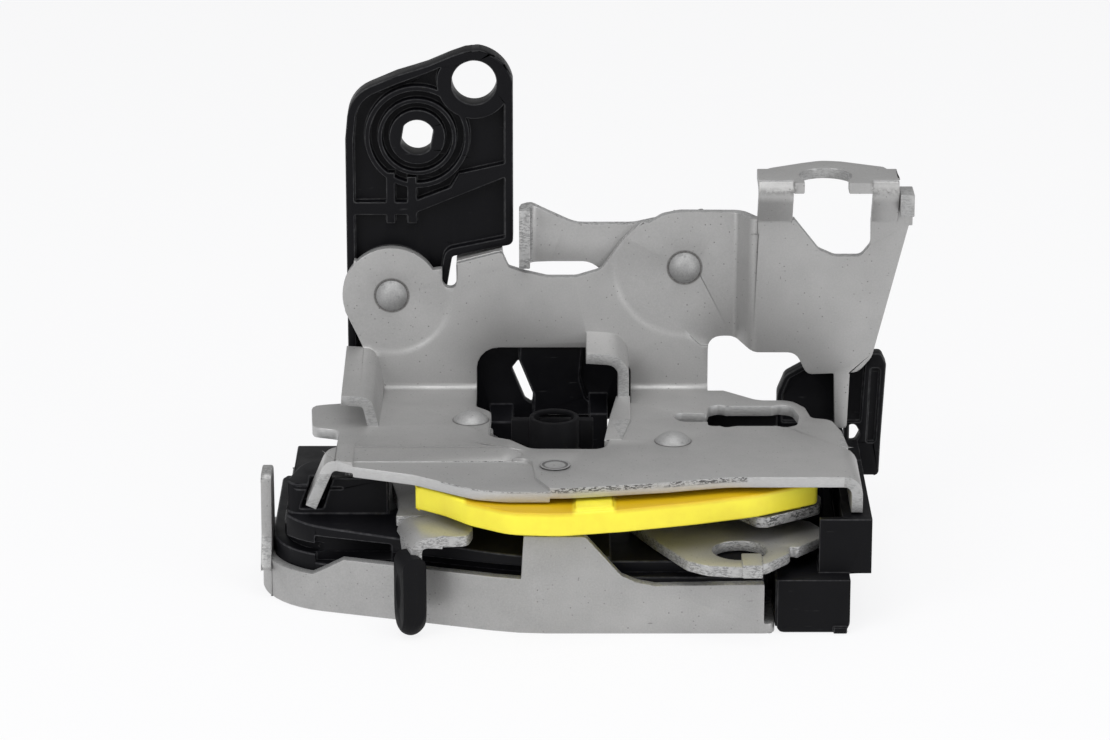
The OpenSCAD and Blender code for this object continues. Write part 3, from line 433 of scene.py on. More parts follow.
@dataclass(frozen=True)
class TurnedSteel:
    """Formed rivet heads, sleeves, washers and wire, with painted shadow lines on the rings given."""

    name: str
    level: float
    slot: str
    roughness: float = 0.42
    metallic: float = 0.65
    shadow_rings: tuple[Ring, ...] = ()
    spot_share: float = 0.5
    ring_shadow_share: float = 0.25
    grain_mm: float = 0.05

    def material(self) -> bpy.types.Material:
        """Build the finish."""
        tree = Tree(self.name)
        fine = tree.noise(2400.0, 4.0, 0.6)
        spots = tree.noise(620.0, 3.0, 0.6)
        tone = tree.blend(tree.ramp(fine, 0.35, 0.65), grey(self.level * 0.9), grey(self.level * 1.08))
        dulled = tree.ramp(spots, 0.60, 0.70, 0.0, 0.45)
        tone = tree.blend(dulled, tone, grey(self.level * self.spot_share))
        # Painted shadow: the listed rings are darkened to stand in for shadow lines round the head.
        for ring in self.shadow_rings:
            dark = tree.maths("MULTIPLY", tree.ring(*ring), 0.8)
            tone = tree.blend(dark, tone, grey(self.level * self.ring_shadow_share))
        tree.feed("Base Color", tone)
        tree.feed("Metallic", self.metallic)
        tree.feed("Roughness", tree.ramp(spots, 0.4, 0.65, self.roughness, self.roughness + 0.12))
        tree.bump(fine, self.grain_mm * MM, 0.6)
        return tree.material


@dataclass(frozen=True)
class MouldedPlastic:
    """Moulded plastic with the tool's grain, fine scuffs and, in the boxes given where it is tucked in, a
    painted shadow colour.
    """

    name: str
    colour: Colour
    slot: str
    roughness: float = 0.5
    gloss: float = 0.13
    scuff: float = 0.05
    grain: Grain = Grain.FINE
    shadow_boxes: tuple[Box, ...] = ()
    shadow_colour: Colour = (0.0, 0.0, 0.0)
    grain_mm: float = 0.04

    def material(self) -> bpy.types.Material:
        """Build the finish."""
        tree = Tree(self.name)
        pits = tree.noise(self.grain.value, 3.0, 0.6)
        haze = tree.noise(150.0, 4.0, 0.6)
        lifted = tuple(min(1.0, c * 1.12 + 0.001) for c in self.colour)
        tone = tree.blend(tree.ramp(haze, 0.35, 0.7), self.colour, lifted)
        # Painted shadow: the listed boxes take a darker colour, standing in for the shadow where the piece is
        # tucked in.
        for low, high in self.shadow_boxes:
            tone = tree.blend(tree.zone(low, high, 0.5), tone, self.shadow_colour)
        fine = tree.noise(1.0, 2.0, 0.5, tree.stretched((160, 2300, 1500), (0, 20, 31)))
        rubs = tree.maths("MULTIPLY", tree.ramp(fine, 0.70, 0.78, 0.0, 1.0),
                          tree.ramp(tree.noise(60.0), 0.48, 0.6))
        worn = tuple(max(0.0, min(1.0, c + self.scuff)) for c in self.colour)
        tree.feed("Base Color", tree.blend(rubs, tone, worn))
        tree.feed("Roughness", tree.ramp(haze, 0.35, 0.7, self.roughness - 0.06, self.roughness + 0.08))
        tree.feed("Specular IOR Level", self.gloss)
        tree.bump(pits, self.grain_mm * MM, 0.5)
        return tree.material


@dataclass(frozen=True)
class WornAndLitCorner:
    """Rounded corner of a moulding, lighter than its faces: partly worn, partly a painted edge highlight."""

    name: str
    colour: Colour
    slot: str
    wear_and_highlight: float = 0.022
    gloss: float = 0.32
    grain_mm: float = 0.04

    def material(self) -> bpy.types.Material:
        """Build the finish."""
        tree = Tree(self.name)
        broken = tree.noise(700.0, 4.0, 0.65)
        # Partly wear, partly painted highlight: patches of the corner are lifted lighter than its base
        # colour.
        worn_and_lit = tuple(min(1.0, c + self.wear_and_highlight) for c in self.colour)
        tree.feed("Base Color", tree.blend(tree.ramp(broken, 0.42, 0.62), self.colour, worn_and_lit))
        tree.feed("Roughness", tree.ramp(broken, 0.4, 0.65, 0.5, 0.38))
        tree.feed("Specular IOR Level", self.gloss)
        tree.bump(broken, self.grain_mm * MM, 0.5)
        return tree.material


BENDS = (((45.5, 55.5, 82.6), (54.2, 60.8, 86.5)), ((71.6, 55.5, 82.6), (78.2, 60.8, 86.5)))
# Rings of painted contact shadow round the rivet heads in the plate.
RIVETS = (("XZ", -37.5, 55.6, 3.8), ("XZ", 29.7, 62.3, 3.8),
          ("XY", -19.0, 47.0, 3.9), ("XY", 26.3, 32.3, 3.9))
PLATE = PlatedSheet("plated_plate", 0.42, "plate_steel", cracked=BENDS, shadow_rings=RIVETS)
PLATE_EDGE = ShearedEdge("plate_sheared_edge", 0.52, "plate_steel", ((-25.0, None, 32.3), (42.0, 30.0, None)))
WALL_EDGE = ShearedEdge("wall_sheared_edge", 0.46, "plate_steel", strength=0.35)
FACE = PlatedSheet("plated_face", 0.40, "face_steel", contrast=0.09, cloud=90.0)
FACE_EDGE = ShearedEdge("face_sheared_edge", 0.42, "face_steel", strength=0.4)
LEVER = PlatedSheet("plated_lever", 0.44, "lever_steel", roughness=0.42)
LEVER_EDGE = ShearedEdge("lever_sheared_edge", 0.52, "lever_steel", strength=0.6)
DARK = PlatedSheet("dark_lever", 0.22, "dark_steel", contrast=0.15)
DARK_EDGE = ShearedEdge("dark_sheared_edge", 0.5, "dark_steel")
CLAW = PlatedSheet("hardened_steel", 0.4, "claw_steel")
RIVET = TurnedSteel("formed_steel", 0.36, "rivet_steel", roughness=0.5, metallic=0.5)
# Painted shadow: two dark rings on the staked pin's head stand in for shadow lines round it.
STAKED = TurnedSteel("staked_steel", 0.36, "rivet_steel", roughness=0.5, metallic=0.5,
                     shadow_rings=(("XY", 0.0, 15.4, 2.6), ("XY", 0.0, 15.4, 3.7)))
WIRE = TurnedSteel("spring_wire", 0.34, "spring_steel", roughness=0.3, metallic=0.9)
BLACK = MouldedPlastic("black_moulding", (0.0035, 0.0035, 0.0048), "black_plastic")
# The corner finishes are lighter than their faces: partly wear, partly a painted edge highlight.
BLACK_CORNER = WornAndLitCorner("black_moulding_corner", (0.010, 0.010, 0.013), "black_plastic")
LEVER_BLACK = MouldedPlastic("lever_moulding", (0.003, 0.003, 0.0042), "lever_plastic",
                             roughness=0.44, scuff=0.04)
LEVER_CORNER = WornAndLitCorner("lever_moulding_corner", (0.009, 0.009, 0.011), "lever_plastic")
BOX_BLACK = MouldedPlastic("box_moulding", (0.003, 0.003, 0.004), "box_plastic",
                           roughness=0.52, grain=Grain.COARSE)
BOX_CORNER = WornAndLitCorner("box_moulding_corner", (0.010, 0.010, 0.012), "box_plastic")
SWITCH = MouldedPlastic("switch_moulding", (0.012, 0.012, 0.018), "switch_plastic")
IVORY = MouldedPlastic("ivory_moulding", (0.72, 0.68, 0.52), "ivory_plastic", scuff=0.0)
# Painted shadow on the yellow lever's top face where it runs under the plate, apart from the pad, in a dark
# orange.
SHADOW_UNDER_PLATE = (((-19.5, None, 29.2), (4.0, None, None)), ((13.0, None, 29.2), (None, None, None)))
YELLOW = MouldedPlastic("yellow_moulding", (0.93, 0.80, 0.055), "yellow_plastic", roughness=0.42, gloss=0.4,
                        scuff=-0.1, shadow_boxes=SHADOW_UNDER_PLATE, shadow_colour=(0.62, 0.37, 0.0))
RUBBER = MouldedPlastic("black_rubber", (0.004, 0.004, 0.005), "black_rubber", roughness=0.6, scuff=0.03)
BRASS = TurnedSteel("tinned_brass", 0.5, "contact_brass")

Finish = PlatedSheet | ShearedEdge | TurnedSteel | MouldedPlastic | WornAndLitCorner
EdgeTest = Callable[[Vector, Vector], bool]
Cuts = tuple[tuple[Finish, EdgeTest], ...]


def only(piece: bpy.types.Object) -> None:
    """Select one object alone and make it active.

    Args:
        piece: The object.
    """
    bpy.ops.object.select_all(action="DESELECT")
    piece.select_set(True)
    bpy.context.view_layer.objects.active = piece


def block(low: Corner, high: Corner) -> bpy.types.Object:
    """Make a box as a tool body.

    Args:
        low: Its lowest corner in millimetres.
        high: Its highest corner in millimetres.

    Returns:
        The body.
    """
    centre = [(a + b) / 2 * MM for a, b in zip(low, high)]
    bpy.ops.mesh.primitive_cube_add(size=1.0, location=centre)
    bpy.context.active_object.scale = [(b - a) * MM for a, b in zip(low, high)]
    bpy.ops.object.transform_apply(location=True, rotation=True, scale=True)
    return bpy.context.active_object


def drum(centre: Pair, radius: float, low: float, high: float, lying: bool = False) -> bpy.types.Object:
    """Make a cylinder as a tool body, upright or lying along y.

    Args:
        centre: Its axis in millimetres, as x and y, or as x and z where it lies.
        radius: Its radius in millimetres.
        low: Its lower or front end in millimetres.
        high: Its upper or back end in millimetres.
        lying: Whether it lies along y.

    Returns:
        The body.
    """
    middle = (low + high) / 2
    place = (centre[0], middle, centre[1]) if lying else (centre[0], centre[1], middle)
    turn = (math.pi / 2 if lying else 0.0, 0.0, 0.0)
    bpy.ops.mesh.primitive_cylinder_add(vertices=DRUM_SIDES, radius=radius * MM, depth=(high - low) * MM,
                                        rotation=turn, location=Vector(place) * MM)
    bpy.ops.object.transform_apply(location=True, rotation=True, scale=True)
    return bpy.context.active_object


def ball(centre: Corner, radii: Corner) -> bpy.types.Object:
    """Make an ellipsoid as a tool body.

    Args:
        centre: Its centre in millimetres.
        radii: Its radii in millimetres.

    Returns:
        The body.
    """
    bpy.ops.mesh.primitive_uv_sphere_add(segments=BALL_SIDES, ring_count=BALL_RINGS, radius=1.0,
                                         location=[c * MM for c in centre])
    bpy.context.active_object.scale = [r * MM for r in radii]
    bpy.ops.object.transform_apply(location=True, rotation=True, scale=True)
    return bpy.context.active_object


def combine(piece: bpy.types.Object, tool: bpy.types.Object, operation: str) -> bpy.types.Object:
    """Unite a piece with a tool body, or cut it by one, and remove the tool body.

    Args:
        piece: The piece.
        tool: The tool body.
        operation: UNION, DIFFERENCE or INTERSECT.

    Returns:
        The piece.
    """
    modifier = piece.modifiers.new("combine", "BOOLEAN")
    modifier.operation = operation
    modifier.object = tool
    modifier.solver = "EXACT"
    only(piece)
    bpy.ops.object.modifier_apply(modifier=modifier.name)
    bpy.data.objects.remove(tool)
    return piece


def slice_levels(piece: bpy.types.Object, levels: Iterable[float], axis: Corner = (0, 0, 1)) -> None:
    """Cut new edges round a piece at several levels.

    Args:
        piece: The piece.
        levels: The levels along the axis in millimetres.
        axis: Direction across the cuts.
    """
    only(piece)
    bpy.ops.object.mode_set(mode="EDIT")
    for level in levels:
        bpy.ops.mesh.select_all(action="SELECT")
        bpy.ops.mesh.bisect(plane_co=Vector(axis) * level * MM, plane_no=axis)
    bpy.ops.object.mode_set(mode="OBJECT")


def between(value: float, table: Iterable[Pair]) -> float:
    """Read a value off a table of rising places, straight between its rows.

    Args:
        value: The place.
        table: Rows of place and value.

    Returns:
        The value there, and zero outside the table.
    """
    rows = list(table)
    for (x0, y0), (x1, y1) in zip(rows, rows[1:]):
        if x0 <= value <= x1:
            return y0 + (y1 - y0) * (value - x0) / (x1 - x0)
    return 0.0


@dataclass
class Workshop:
    """Copies the frame's nodes, rounds their edges and dresses them."""

    frame: dict
    box: tuple[Vector, Vector]
    made: dict[str, bpy.types.Material] = field(default_factory=dict)
    merge_mm: float = 0.002

    def finish(self, finish: Finish) -> bpy.types.Material:
        """Give a finish's material, built on its first use.

        Args:
            finish: The finish.

        Returns:
            The material.
        """
        if finish.name not in self.made:
            self.made[finish.name] = finish.material()
        return self.made[finish.name]

    def body(self, node: str) -> str:
        """Name the body that a node rides on."""
        bodies = self.frame["record"]["behaviour"]["bodies"]
        return next(name for name, members in bodies.items() if node in members)

    def copy(self, node: str) -> bpy.types.Object:
        """Copy a node as one clean mesh without loose triangles.

        Args:
            node: The node's name.

        Returns:
            The new piece.
        """
        mesh = self.frame["nodes"][node].data.copy()
        piece = bpy.data.objects.new(f"{node}_dressed", mesh)
        bpy.context.scene.collection.objects.link(piece)
        mesh.materials.clear()
        only(piece)
        bpy.ops.mesh.customdata_custom_splitnormals_clear()
        bpy.ops.object.mode_set(mode="EDIT")
        bpy.ops.mesh.select_all(action="SELECT")
        bpy.ops.mesh.remove_doubles(threshold=self.merge_mm * MM)
        bpy.ops.object.mode_set(mode="OBJECT")
        return piece

    def hold(self, piece: bpy.types.Object) -> None:
        """Keep a piece inside the box of the solids.

        Args:
            piece: The piece.
        """
        low, high = self.box
        for vertex in piece.data.vertices:
            for axis in range(3):
                vertex.co[axis] = max(low[axis], min(high[axis], vertex.co[axis]))

    def dress(self, node: str, finish: Finish, round_mm: float = 0.25, corner: Finish | None = None,
              cuts: Cuts = (), segments: int = 2, sharp: float = 32.0,
              shape: Callable[[bpy.types.Object], None] | None = None) -> bpy.types.Object:
        """Replace a node by a copy with rounded edges and its finishes.

        Args:
            node: The node's name.
            finish: Finish of its faces.
            round_mm: Width of the rounded edges.
            corner: Finish of the rounded edges, or the faces' own.
            cuts: Finishes of the cut edges, each with the test that tells its faces.
            segments: Steps across a rounded edge.
            sharp: Angle above which an edge is rounded, in degrees.
            shape: Shapes the copy before its edges are rounded.

        Returns:
            The new piece.
        """
        piece = self.copy(node)
        if shape:
            shape(piece)
            only(piece)
        for item in (finish, corner or finish, *(cut[0] for cut in cuts)):
            piece.data.materials.append(self.finish(item))
        for face in piece.data.polygons:
            told = [i for i, cut in enumerate(cuts) if cut[1](face.normal, face.center / MM)]
            face.material_index = told[0] + 2 if told else 0
        if round_mm > 0:
            bevel = piece.modifiers.new("rounded edges", "BEVEL")
            bevel.width = round_mm * MM
            bevel.segments = segments
            bevel.limit_method = "ANGLE"
            bevel.angle_limit = math.radians(sharp)
            bevel.use_clamp_overlap = False
            bevel.miter_outer = "MITER_ARC"
            bevel.material = 1 if corner else -1
            bpy.ops.object.modifier_apply(modifier=bevel.name)
        self.hold(piece)
        bpy.ops.object.shade_smooth_by_angle(angle=math.radians(sharp))
        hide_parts(node)
        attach(piece, self.body(node))
        LOG.info("%s: %d faces", piece.name, len(piece.data.polygons))
        return piece


@dataclass
class FacePlate:
    """Drawn steel tray that lies against the door."""

    shop: Workshop
    flange_mm: float = 2.2
    rim_tilt: float = 0.3
    corner_at: Pair = (-45.5, 32.7)
    corner_r: float = 20.12
    corner_reach: Pair = (-2, 8)
    foot: Brick = ((-68, 18, -1), (-50, 38, 6.5))

    def build(self) -> None:
        """Dress the tray, its rim as a cut edge."""
        self.shop.dress("face_plate", FACE, 0.35, cuts=((FACE_EDGE, self.rim),), shape=self.trim_foot)

    def trim_foot(self, piece: bpy.types.Object) -> None:
        """Trim the end tab's foot to the tray's round corner.

        Args:
            piece: The copy of the face plate.
        """
        arc = drum(self.corner_at, self.corner_r, *self.corner_reach)
        combine(piece, combine(block(*self.foot), arc, "DIFFERENCE"), "DIFFERENCE")

    def rim(self, normal: Vector, centre: Vector) -> bool:
        """Tell the flange's upper rim."""
        return centre.z > self.flange_mm and normal.z > self.rim_tilt


@dataclass(frozen=True)
class SheetRun:
    """Box of the stamped sheet in which its rolled faces look along certain axes."""

    low: Corner
    high: Corner
    rolled: str

    def holds(self, place: Vector) -> bool:
        """Tell whether a place in millimetres lies in the box."""
        return all(a <= p <= b for a, p, b in zip(self.low, place, self.high))

    def cut(self, normal: Vector, share: float = 0.7) -> bool:
        """Tell whether a normal looks away from the rolled faces."""
        return math.hypot(*(n for axis, n in zip("xyz", normal) if axis not in self.rolled)) > share


@dataclass
class LockPlate:
    """Stamped plate with its wall, ears, discs and cable bracket, and the rivets in it."""

    shop: Workshop
    top_mm: float = 85.5
    step_mm: float = 32.78
    flat_mm: float = 0.05
    stake_rim_mm: float = 0.8
    stake_wall_mm: float = 0.25
    stake_depth_mm: float = 0.35
    rivets: tuple[str, ...] = ("claw_pivot", "pawl_pivot", "release_rivet", "arm_rivet")
    hidden: tuple[str, ...] = ("claw_sleeve", "pawl_sleeve", "release_washer", "arm_washer")
    top_plate: SheetRun = SheetRun((-60, 0, 30), (63, 66.5, 33.7), "z")
    runs: tuple[SheetRun, ...] = (
        SheetRun((-50, 40, 33.7), (-36, 69.9, 52), "xz"),
        SheetRun((5, 50, 33.7), (18.2, 69.9, 56), "xz"),
        SheetRun((-58, 18.8, 20), (-46.2, 28.4, 33.6), "xz"),
        SheetRun((62.9, 8, 20), (70, 28.2, 33.6), "xz"),
        SheetRun((45, 62.3, 82.9), (78, 80, 86), "z"),
        SheetRun((45, 56, 71.9), (54.1, 68, 86), "yz"),
        SheetRun((71.6, 56, 71.9), (77.9, 68, 86), "yz"),
        SheetRun((45, 56, 82.9), (78, 62.3, 86), "yz"),
        SheetRun((77.9, 59, 77.2), (81.4, 64.9, 82.8), "x"),
        SheetRun((-23, 72.6, 60), (-11.8, 80, 67), "z"),
        SheetRun((-41, 66.5, 31), (36, 73, 35), "yz"),
        SheetRun((38, 64.9, 35), (45.4, 74, 77), "xy"),
    )
    wall: SheetRun = SheetRun((-90, -10, 0), (90, 90, 100), "y")

    def build(self) -> None:
        """Dress the plate and its rivets."""
        cuts = ((PLATE_EDGE, self.top_cut), (WALL_EDGE, self.wall_cut))
        plate = self.shop.dress("lock_plate", PLATE, 0.25, cuts=cuts)
        for vertex in plate.data.vertices:
            vertex.co.z = min(vertex.co.z, self.top_mm * MM)
        for node in self.rivets:
            self.shop.dress(node, RIVET, 0.25)
        self.shop.dress("lever_pin", STAKED, 0.12, shape=self.staked)
        for node in self.hidden:
            self.shop.dress(node, RIVET, 0.15)

    def staked(self, piece: bpy.types.Object) -> None:
        """Press a recess into the staked head of the yellow lever's pin.

        Args:
            piece: The copy of the pin.
        """
        top = max(vertex.co.z for vertex in piece.data.vertices)
        for face in piece.data.polygons:
            face.select = face.normal.z > 0.9 and face.center.z > top - self.flat_mm * MM
        only(piece)
        bpy.ops.object.mode_set(mode="EDIT")
        bpy.ops.mesh.select_mode(type="FACE")
        bpy.ops.mesh.inset(thickness=self.stake_rim_mm * MM)
        bpy.ops.mesh.inset(thickness=self.stake_wall_mm * MM, depth=-self.stake_depth_mm * MM)
        bpy.ops.object.mode_set(mode="OBJECT")

    def top_cut(self, normal: Vector, centre: Vector) -> bool:
        """Tell the cut edges of the top plate."""
        return self.top_plate.holds(centre) and centre.z < self.step_mm and self.top_plate.cut(normal)

    def wall_cut(self, normal: Vector, centre: Vector) -> bool:
        """Tell the cut edges of the wall, the ears, the legs and the bracket."""
        run = next((run for run in self.runs if run.holds(centre)), self.wall)
        return not self.top_plate.holds(centre) and run.cut(normal)


@dataclass
class LatchHousing:
    """Black housing with the claw, the pawl and the mouth's buffer."""

    shop: Workshop
    rib: Brick = ((28.0, 60.5, 14.6), (51.0, 64.0, 30.6))
    tube_at: Pair = (-0.2, 39.4)
    tube_r: float = 5.6
    tube_reach: Pair = (19.7, 37.0)
    bore_r: float = 4.5
    bore_reach: Pair = (25.0, 38.0)
    wings: Brick = ((-9.8, 42.4, 19.7), (8.6, 44.9, 35.0))
    slit: Brick = ((-3.7, 40.0, 35.0), (3.7, 46.0, 35.8))

    def build(self) -> None:
        """Dress the housing and what works inside it."""
        self.shop.dress("lock_housing", BLACK, 0.35, corner=BLACK_CORNER)
        self.shop.dress("housing_cover", BLACK, 0.35, corner=BLACK_CORNER, shape=self.add_rib)
        self.shop.dress("mouth_buffer", RUBBER, 0.3, shape=self.raise_buffer)
        self.shop.dress("claw", CLAW, 0.25)
        self.shop.dress("claw_jacket", BLACK, 0.2)
        self.shop.dress("pawl", CLAW, 0.25)
        self.shop.dress("pawl_jacket", BLACK, 0.15)

    def add_rib(self, piece: bpy.types.Object) -> None:
        """Stand the rib that shows through the plate's slot on the cover.

        Args:
            piece: The copy of the cover.
        """
        combine(piece, block(*self.rib), "UNION")

    def raise_buffer(self, piece: bpy.types.Object) -> None:
        """Carry the buffer up through the plate's window as a tube with a wing on each side.

        Args:
            piece: The copy of the buffer.
        """
        bore = (self.tube_at, self.bore_r, *self.bore_reach)
        tube = combine(drum(self.tube_at, self.tube_r, *self.tube_reach), drum(*bore), "DIFFERENCE")
        combine(tube, block(*self.wings), "UNION")
        combine(tube, drum(*bore), "DIFFERENCE")
        combine(tube, block(*self.slit), "DIFFERENCE")
        combine(piece, tube, "UNION")


@dataclass
class SwitchBox:
    """Black switch housing with its cover, contacts and position switch."""

    shop: Workshop
    side: Brick = ((48.1, 2.0, 1.0), (51.0, 18.0, 12.0))

    def build(self) -> None:
        """Dress the box, its cover and what it holds."""
        self.shop.dress("switch_housing", BOX_BLACK, 0.22, corner=BOX_CORNER, shape=self.close_gap)
        self.shop.dress("switch_cover", BOX_BLACK, 0.3, corner=BOX_CORNER)
        self.shop.dress("contact_pins", BRASS, 0.08)
        self.shop.dress("microswitch", SWITCH, 0.3)
        self.shop.dress("switch_plunger", IVORY, 0.2)

    def close_gap(self, piece: bpy.types.Object) -> None:
        """Carry the box's side up to the tray's end.

        Args:
            piece: The copy of the box.
        """
        combine(piece, block(*self.side), "UNION")


@dataclass
class ReleaseLever:
    """Tall black lever with its bush, and the steel pull arm beside it."""

    shop: Workshop
    rim_mm: float = 3.8
    head_at: Pair = (-19.0, 103.3)
    head_r: float = 9.6
    head_end: Corner = (-9, 84, 116)
    head_front: float = 70
    eye_at: Pair = (-18.4, 105.0)
    eye_r: float = 6.2
    drum_reach: Pair = (69, 85)
    filler: Brick = ((-18, 73.8, 104), (-10.0, 77, 112))
    slope_from: Pair = (-18.0, 114.6)
    slope_rise: float = 0.4306
    slope_end: float = -17.8
    crown_at: Pair = (-17.6, 106.8)
    crown_r: float = 8.0
    levels: tuple[float, ...] = (-36, -32, -28.8, -26, -23.6, -21.8, -20.4, -19, -17.2)
    lowered: tuple[Pair, ...] = (
        (-36.0, 0.0), (-32.0, 0.5), (-28.8, 0.85), (-23.6, 0.85), (-20.4, 1.1), (-18.6, 1.7),
        (-17.2, 2.0), (-9.4, 2.0),
    )
    edge_tilt: float = 0.4
    end_tilt: float = 0.7
    flange_x: float = -5.0
    flange_y: float = 69.0
    front_tilt: float = 0.9

    def build(self) -> None:
        """Dress the lever, its bush and the pull arm."""
        self.shop.dress("release_lever", LEVER_BLACK, 0.25, corner=LEVER_CORNER, shape=self.round_head)
        self.shop.dress("release_bush", RIVET, 0.1)
        self.shop.dress("pull_arm", LEVER, 0.3, cuts=((LEVER_EDGE, self.cut),))

    def round_head(self, piece: bpy.types.Object) -> None:
        """Draw the lever's head in to its rounder outline.

        Args:
            piece: The copy of the lever.
        """
        slice_levels(piece, self.levels, (1, 0, 0))
        for vertex in piece.data.vertices:
            x, z = vertex.co.x / MM, vertex.co.z / MM
            fade = 1.0 - (self.top(x) - z) / self.rim_mm
            vertex.co.z -= between(x, self.lowered) * max(0.0, min(1.0, fade)) * MM
        eye = drum(self.eye_at, self.eye_r, *self.drum_reach, lying=True)
        combine(piece, combine(block(*self.filler), eye, "DIFFERENCE"), "UNION")
        head = drum(self.head_at, self.head_r, *self.drum_reach, lying=True)
        beyond = block((self.head_at[0], self.head_front, self.head_at[1]), self.head_end)
        combine(piece, combine(beyond, head, "DIFFERENCE"), "DIFFERENCE")

    def top(self, x: float) -> float:
        """Give the height of the lever's upper outline in the solids.

        Args:
            x: The place along it in millimetres.

        Returns:
            The height in millimetres.
        """
        if x < self.slope_end:
            return self.slope_from[1] + (x - self.slope_from[0]) * self.slope_rise
        aside = x - self.crown_at[0]
        return self.crown_at[1] + math.sqrt(max(0.0, self.crown_r ** 2 - aside ** 2))

    def cut(self, normal: Vector, centre: Vector) -> bool:
        """Tell the arm's cut edges, the flange's front edge among them."""
        flange = centre.x < self.flange_x and centre.y < self.flange_y and normal.y < -self.front_tilt
        return abs(normal.z) > self.edge_tilt or normal.x > self.end_tilt or flange


@dataclass
class HandLevers:
    """Levers that lie between the housing and the stamped plate, with the rod's clip."""

    shop: Workshop
    edge_tilt: float = 0.4
    clip_r: float = 4.1
    clip_reach: Pair = (6.6, 20.0)
    clip_end: float = 6.3
    hollow_at: Corner = (-3.1, -1.2, 10.6)
    hollow: Corner = (1.2, 2.0, 5.0)

    def build(self) -> None:
        """Dress the levers and the clip."""
        self.shop.dress("lock_lever", YELLOW, 0.6, segments=4)
        self.shop.dress("link_lever", DARK, 0.3, cuts=((DARK_EDGE, self.cut),))
        self.shop.dress("handle_lever", LEVER, 0.3, cuts=((LEVER_EDGE, self.cut),))
        self.shop.dress("inner_lever", LEVER, 0.3, cuts=((LEVER_EDGE, self.cut),))
        self.shop.dress("rod_clip", RUBBER, 0.0, shape=self.round_clip, sharp=40.0)

    def round_clip(self, piece: bpy.types.Object) -> None:
        """Round the clip's sides and its lower end, and hollow one side.

        Args:
            piece: The copy of the clip.
        """
        foot = [vertex.co / MM for vertex in piece.data.vertices if vertex.co.z < MM]
        x, y = (sum(place[axis] for place in foot) / len(foot) for axis in (0, 1))
        low, high = self.clip_reach
        end = ball((x, y, low), (self.clip_r, self.clip_r, self.clip_end))
        combine(piece, combine(drum((x, y), self.clip_r, low, high), end, "UNION"), "INTERSECT")
        aside, back, height = self.hollow_at
        combine(piece, ball((x + aside, y + back, height), self.hollow), "DIFFERENCE")

    def cut(self, normal: Vector, centre: Vector) -> bool:
        """Tell the levers' cut edges."""
        return abs(normal.z) < self.edge_tilt


@dataclass
class Springs:
    """Torsion springs of the claw, the pawl and the levers."""

    shop: Workshop
    names: tuple[str, ...] = ("claw", "pawl", "handle", "inner", "release", "arm")

    def build(self) -> None:
        """Dress every spring in drawn wire."""
        for name in self.names:
            self.shop.dress(f"{name}_spring", WIRE, 0.0)


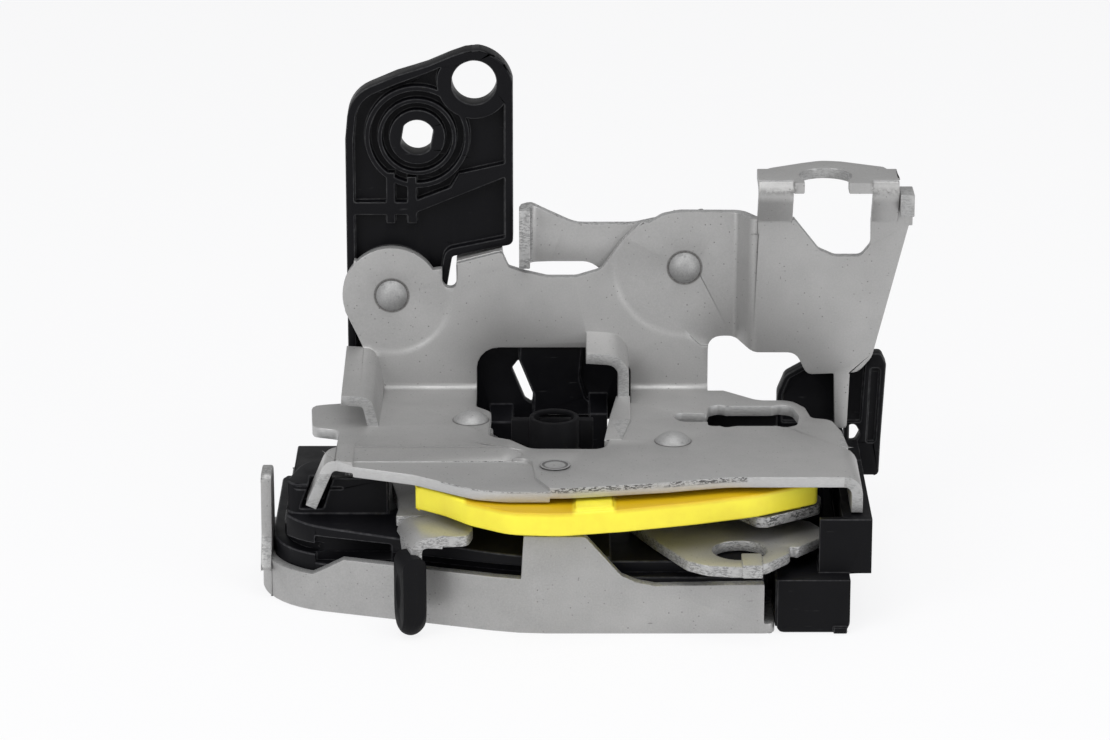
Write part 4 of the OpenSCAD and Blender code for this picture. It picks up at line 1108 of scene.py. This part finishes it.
@dataclass
class Studio:
    """Pale floor, soft lamps and the camera."""

    frame_width: int = 1110
    focal_pixels: float = 4500.0
    sensor_mm: float = 36.0
    far_m: float = 50.0
    eye_mm: Corner = (0.0, -917.06, 358.62)
    aim_mm: Corner = (0.0, 34.0, 49.6)
    floor_m: float = 8.0
    floor_gap_mm: float = 0.02
    floor_colour: Colour = (0.92, 0.92, 0.925)
    floor_roughness: float = 0.9
    glow_colour: Colour = (0.985, 0.985, 0.992)
    floor_glow: float = 0.86
    room_light: float = 0.4
    lights: tuple[tuple[str, Corner, float, float], ...] = (
        ("top_lamp", (0.05, -0.2, 0.95), 0.8, 5.0),
        ("key_lamp", (-0.65, -0.7, 0.6), 0.5, 3.6),
        ("fill_lamp", (0.8, -0.6, 0.35), 0.6, 2.4),
    )

    def build(self, floor_z: float) -> None:
        """Set up the studio.

        Args:
            floor_z: Height of the floor in metres.
        """
        self.camera()
        self.floor(floor_z)
        for light in self.lights:
            self.lamp(*light)
        self.world()
        bpy.context.scene.view_settings.view_transform = "Standard"

    def camera(self) -> None:
        """Place the camera at the photograph's angle and distance."""
        data = bpy.data.cameras.new("camera")
        data.sensor_width = self.sensor_mm
        data.lens = self.focal_pixels / self.frame_width * self.sensor_mm
        data.clip_end = self.far_m
        camera = bpy.data.objects.new("camera", data)
        eye = Vector(self.eye_mm) * MM
        camera.location = eye
        camera.rotation_euler = (Vector(self.aim_mm) * MM - eye).to_track_quat("-Z", "Y").to_euler()
        bpy.context.scene.collection.objects.link(camera)
        bpy.context.scene.camera = camera

    def seen(self, tree: Tree, share: float) -> Socket:
        """Give a share for camera, glossy and transmission rays, and zero for others.

        Args:
            tree: The material's tree.
            share: The share that those rays get.

        Returns:
            The share as a value.
        """
        path = tree.nodes.new("ShaderNodeLightPath")
        direct = tree.maths("MAXIMUM", path.outputs["Is Camera Ray"], path.outputs["Is Glossy Ray"])
        either = tree.maths("MAXIMUM", direct, path.outputs["Is Transmission Ray"])
        return tree.maths("MULTIPLY", either, share)

    def floor(self, height: float) -> None:
        """Lay the pale floor.

        Args:
            height: Its height in metres.
        """
        bpy.ops.object.select_all(action="DESELECT")
        bpy.ops.mesh.primitive_plane_add(size=self.floor_m, location=(0, 0, height - self.floor_gap_mm * MM))
        plane = bpy.context.active_object
        plane.name = "floor"
        tree = Tree("pale_floor")
        tree.feed("Base Color", self.floor_colour)
        tree.feed("Roughness", self.floor_roughness)
        glow = tree.nodes.new("ShaderNodeEmission")
        glow.inputs["Color"].default_value = (*self.glow_colour, 1.0)
        mix = tree.nodes.new("ShaderNodeMixShader")
        tree.links.new(self.seen(tree, self.floor_glow), mix.inputs[0])
        tree.links.new(tree.shader.outputs[0], mix.inputs[1])
        tree.links.new(glow.outputs[0], mix.inputs[2])
        tree.links.new(mix.outputs[0], tree.nodes["Material Output"].inputs["Surface"])
        plane.data.materials.append(tree.material)
        plane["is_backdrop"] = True

    def lamp(self, name: str, place: Corner, size: float, power: float) -> None:
        """Hang one soft lamp that faces the lock.

        Args:
            name: Name of the lamp.
            place: Its place in metres.
            size: Its side in metres.
            power: Its power in watts.
        """
        data = bpy.data.lights.new(name, "AREA")
        data.shape = "SQUARE"
        data.size = size
        data.energy = power
        lamp = bpy.data.objects.new(name, data)
        lamp.location = place
        aim = Vector(self.aim_mm) * MM
        lamp.rotation_euler = (aim - Vector(place)).to_track_quat("-Z", "Y").to_euler()
        bpy.context.scene.collection.objects.link(lamp)

    def world(self) -> None:
        """Fill the room with even white light."""
        world = bpy.data.worlds.new("studio_world")
        world.use_nodes = True
        background = world.node_tree.nodes["Background"]
        background.inputs["Color"].default_value = (1.0, 1.0, 1.0, 1.0)
        background.inputs["Strength"].default_value = self.room_light
        bpy.context.scene.world = world


def main() -> None:
    """Load the frame, dress every piece and set up the studio."""
    logging.basicConfig(level=logging.INFO, format="%(name)s: %(message)s")
    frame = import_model()
    solid_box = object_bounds()
    shop = Workshop(frame, solid_box)
    for part in (FacePlate, LockPlate, LatchHousing, SwitchBox, ReleaseLever, HandLevers, Springs):
        part(shop).build()
        LOG.info("built %s", part.__name__)
    Studio().build(solid_box[0].z)


if __name__ == "__main__":
    main()
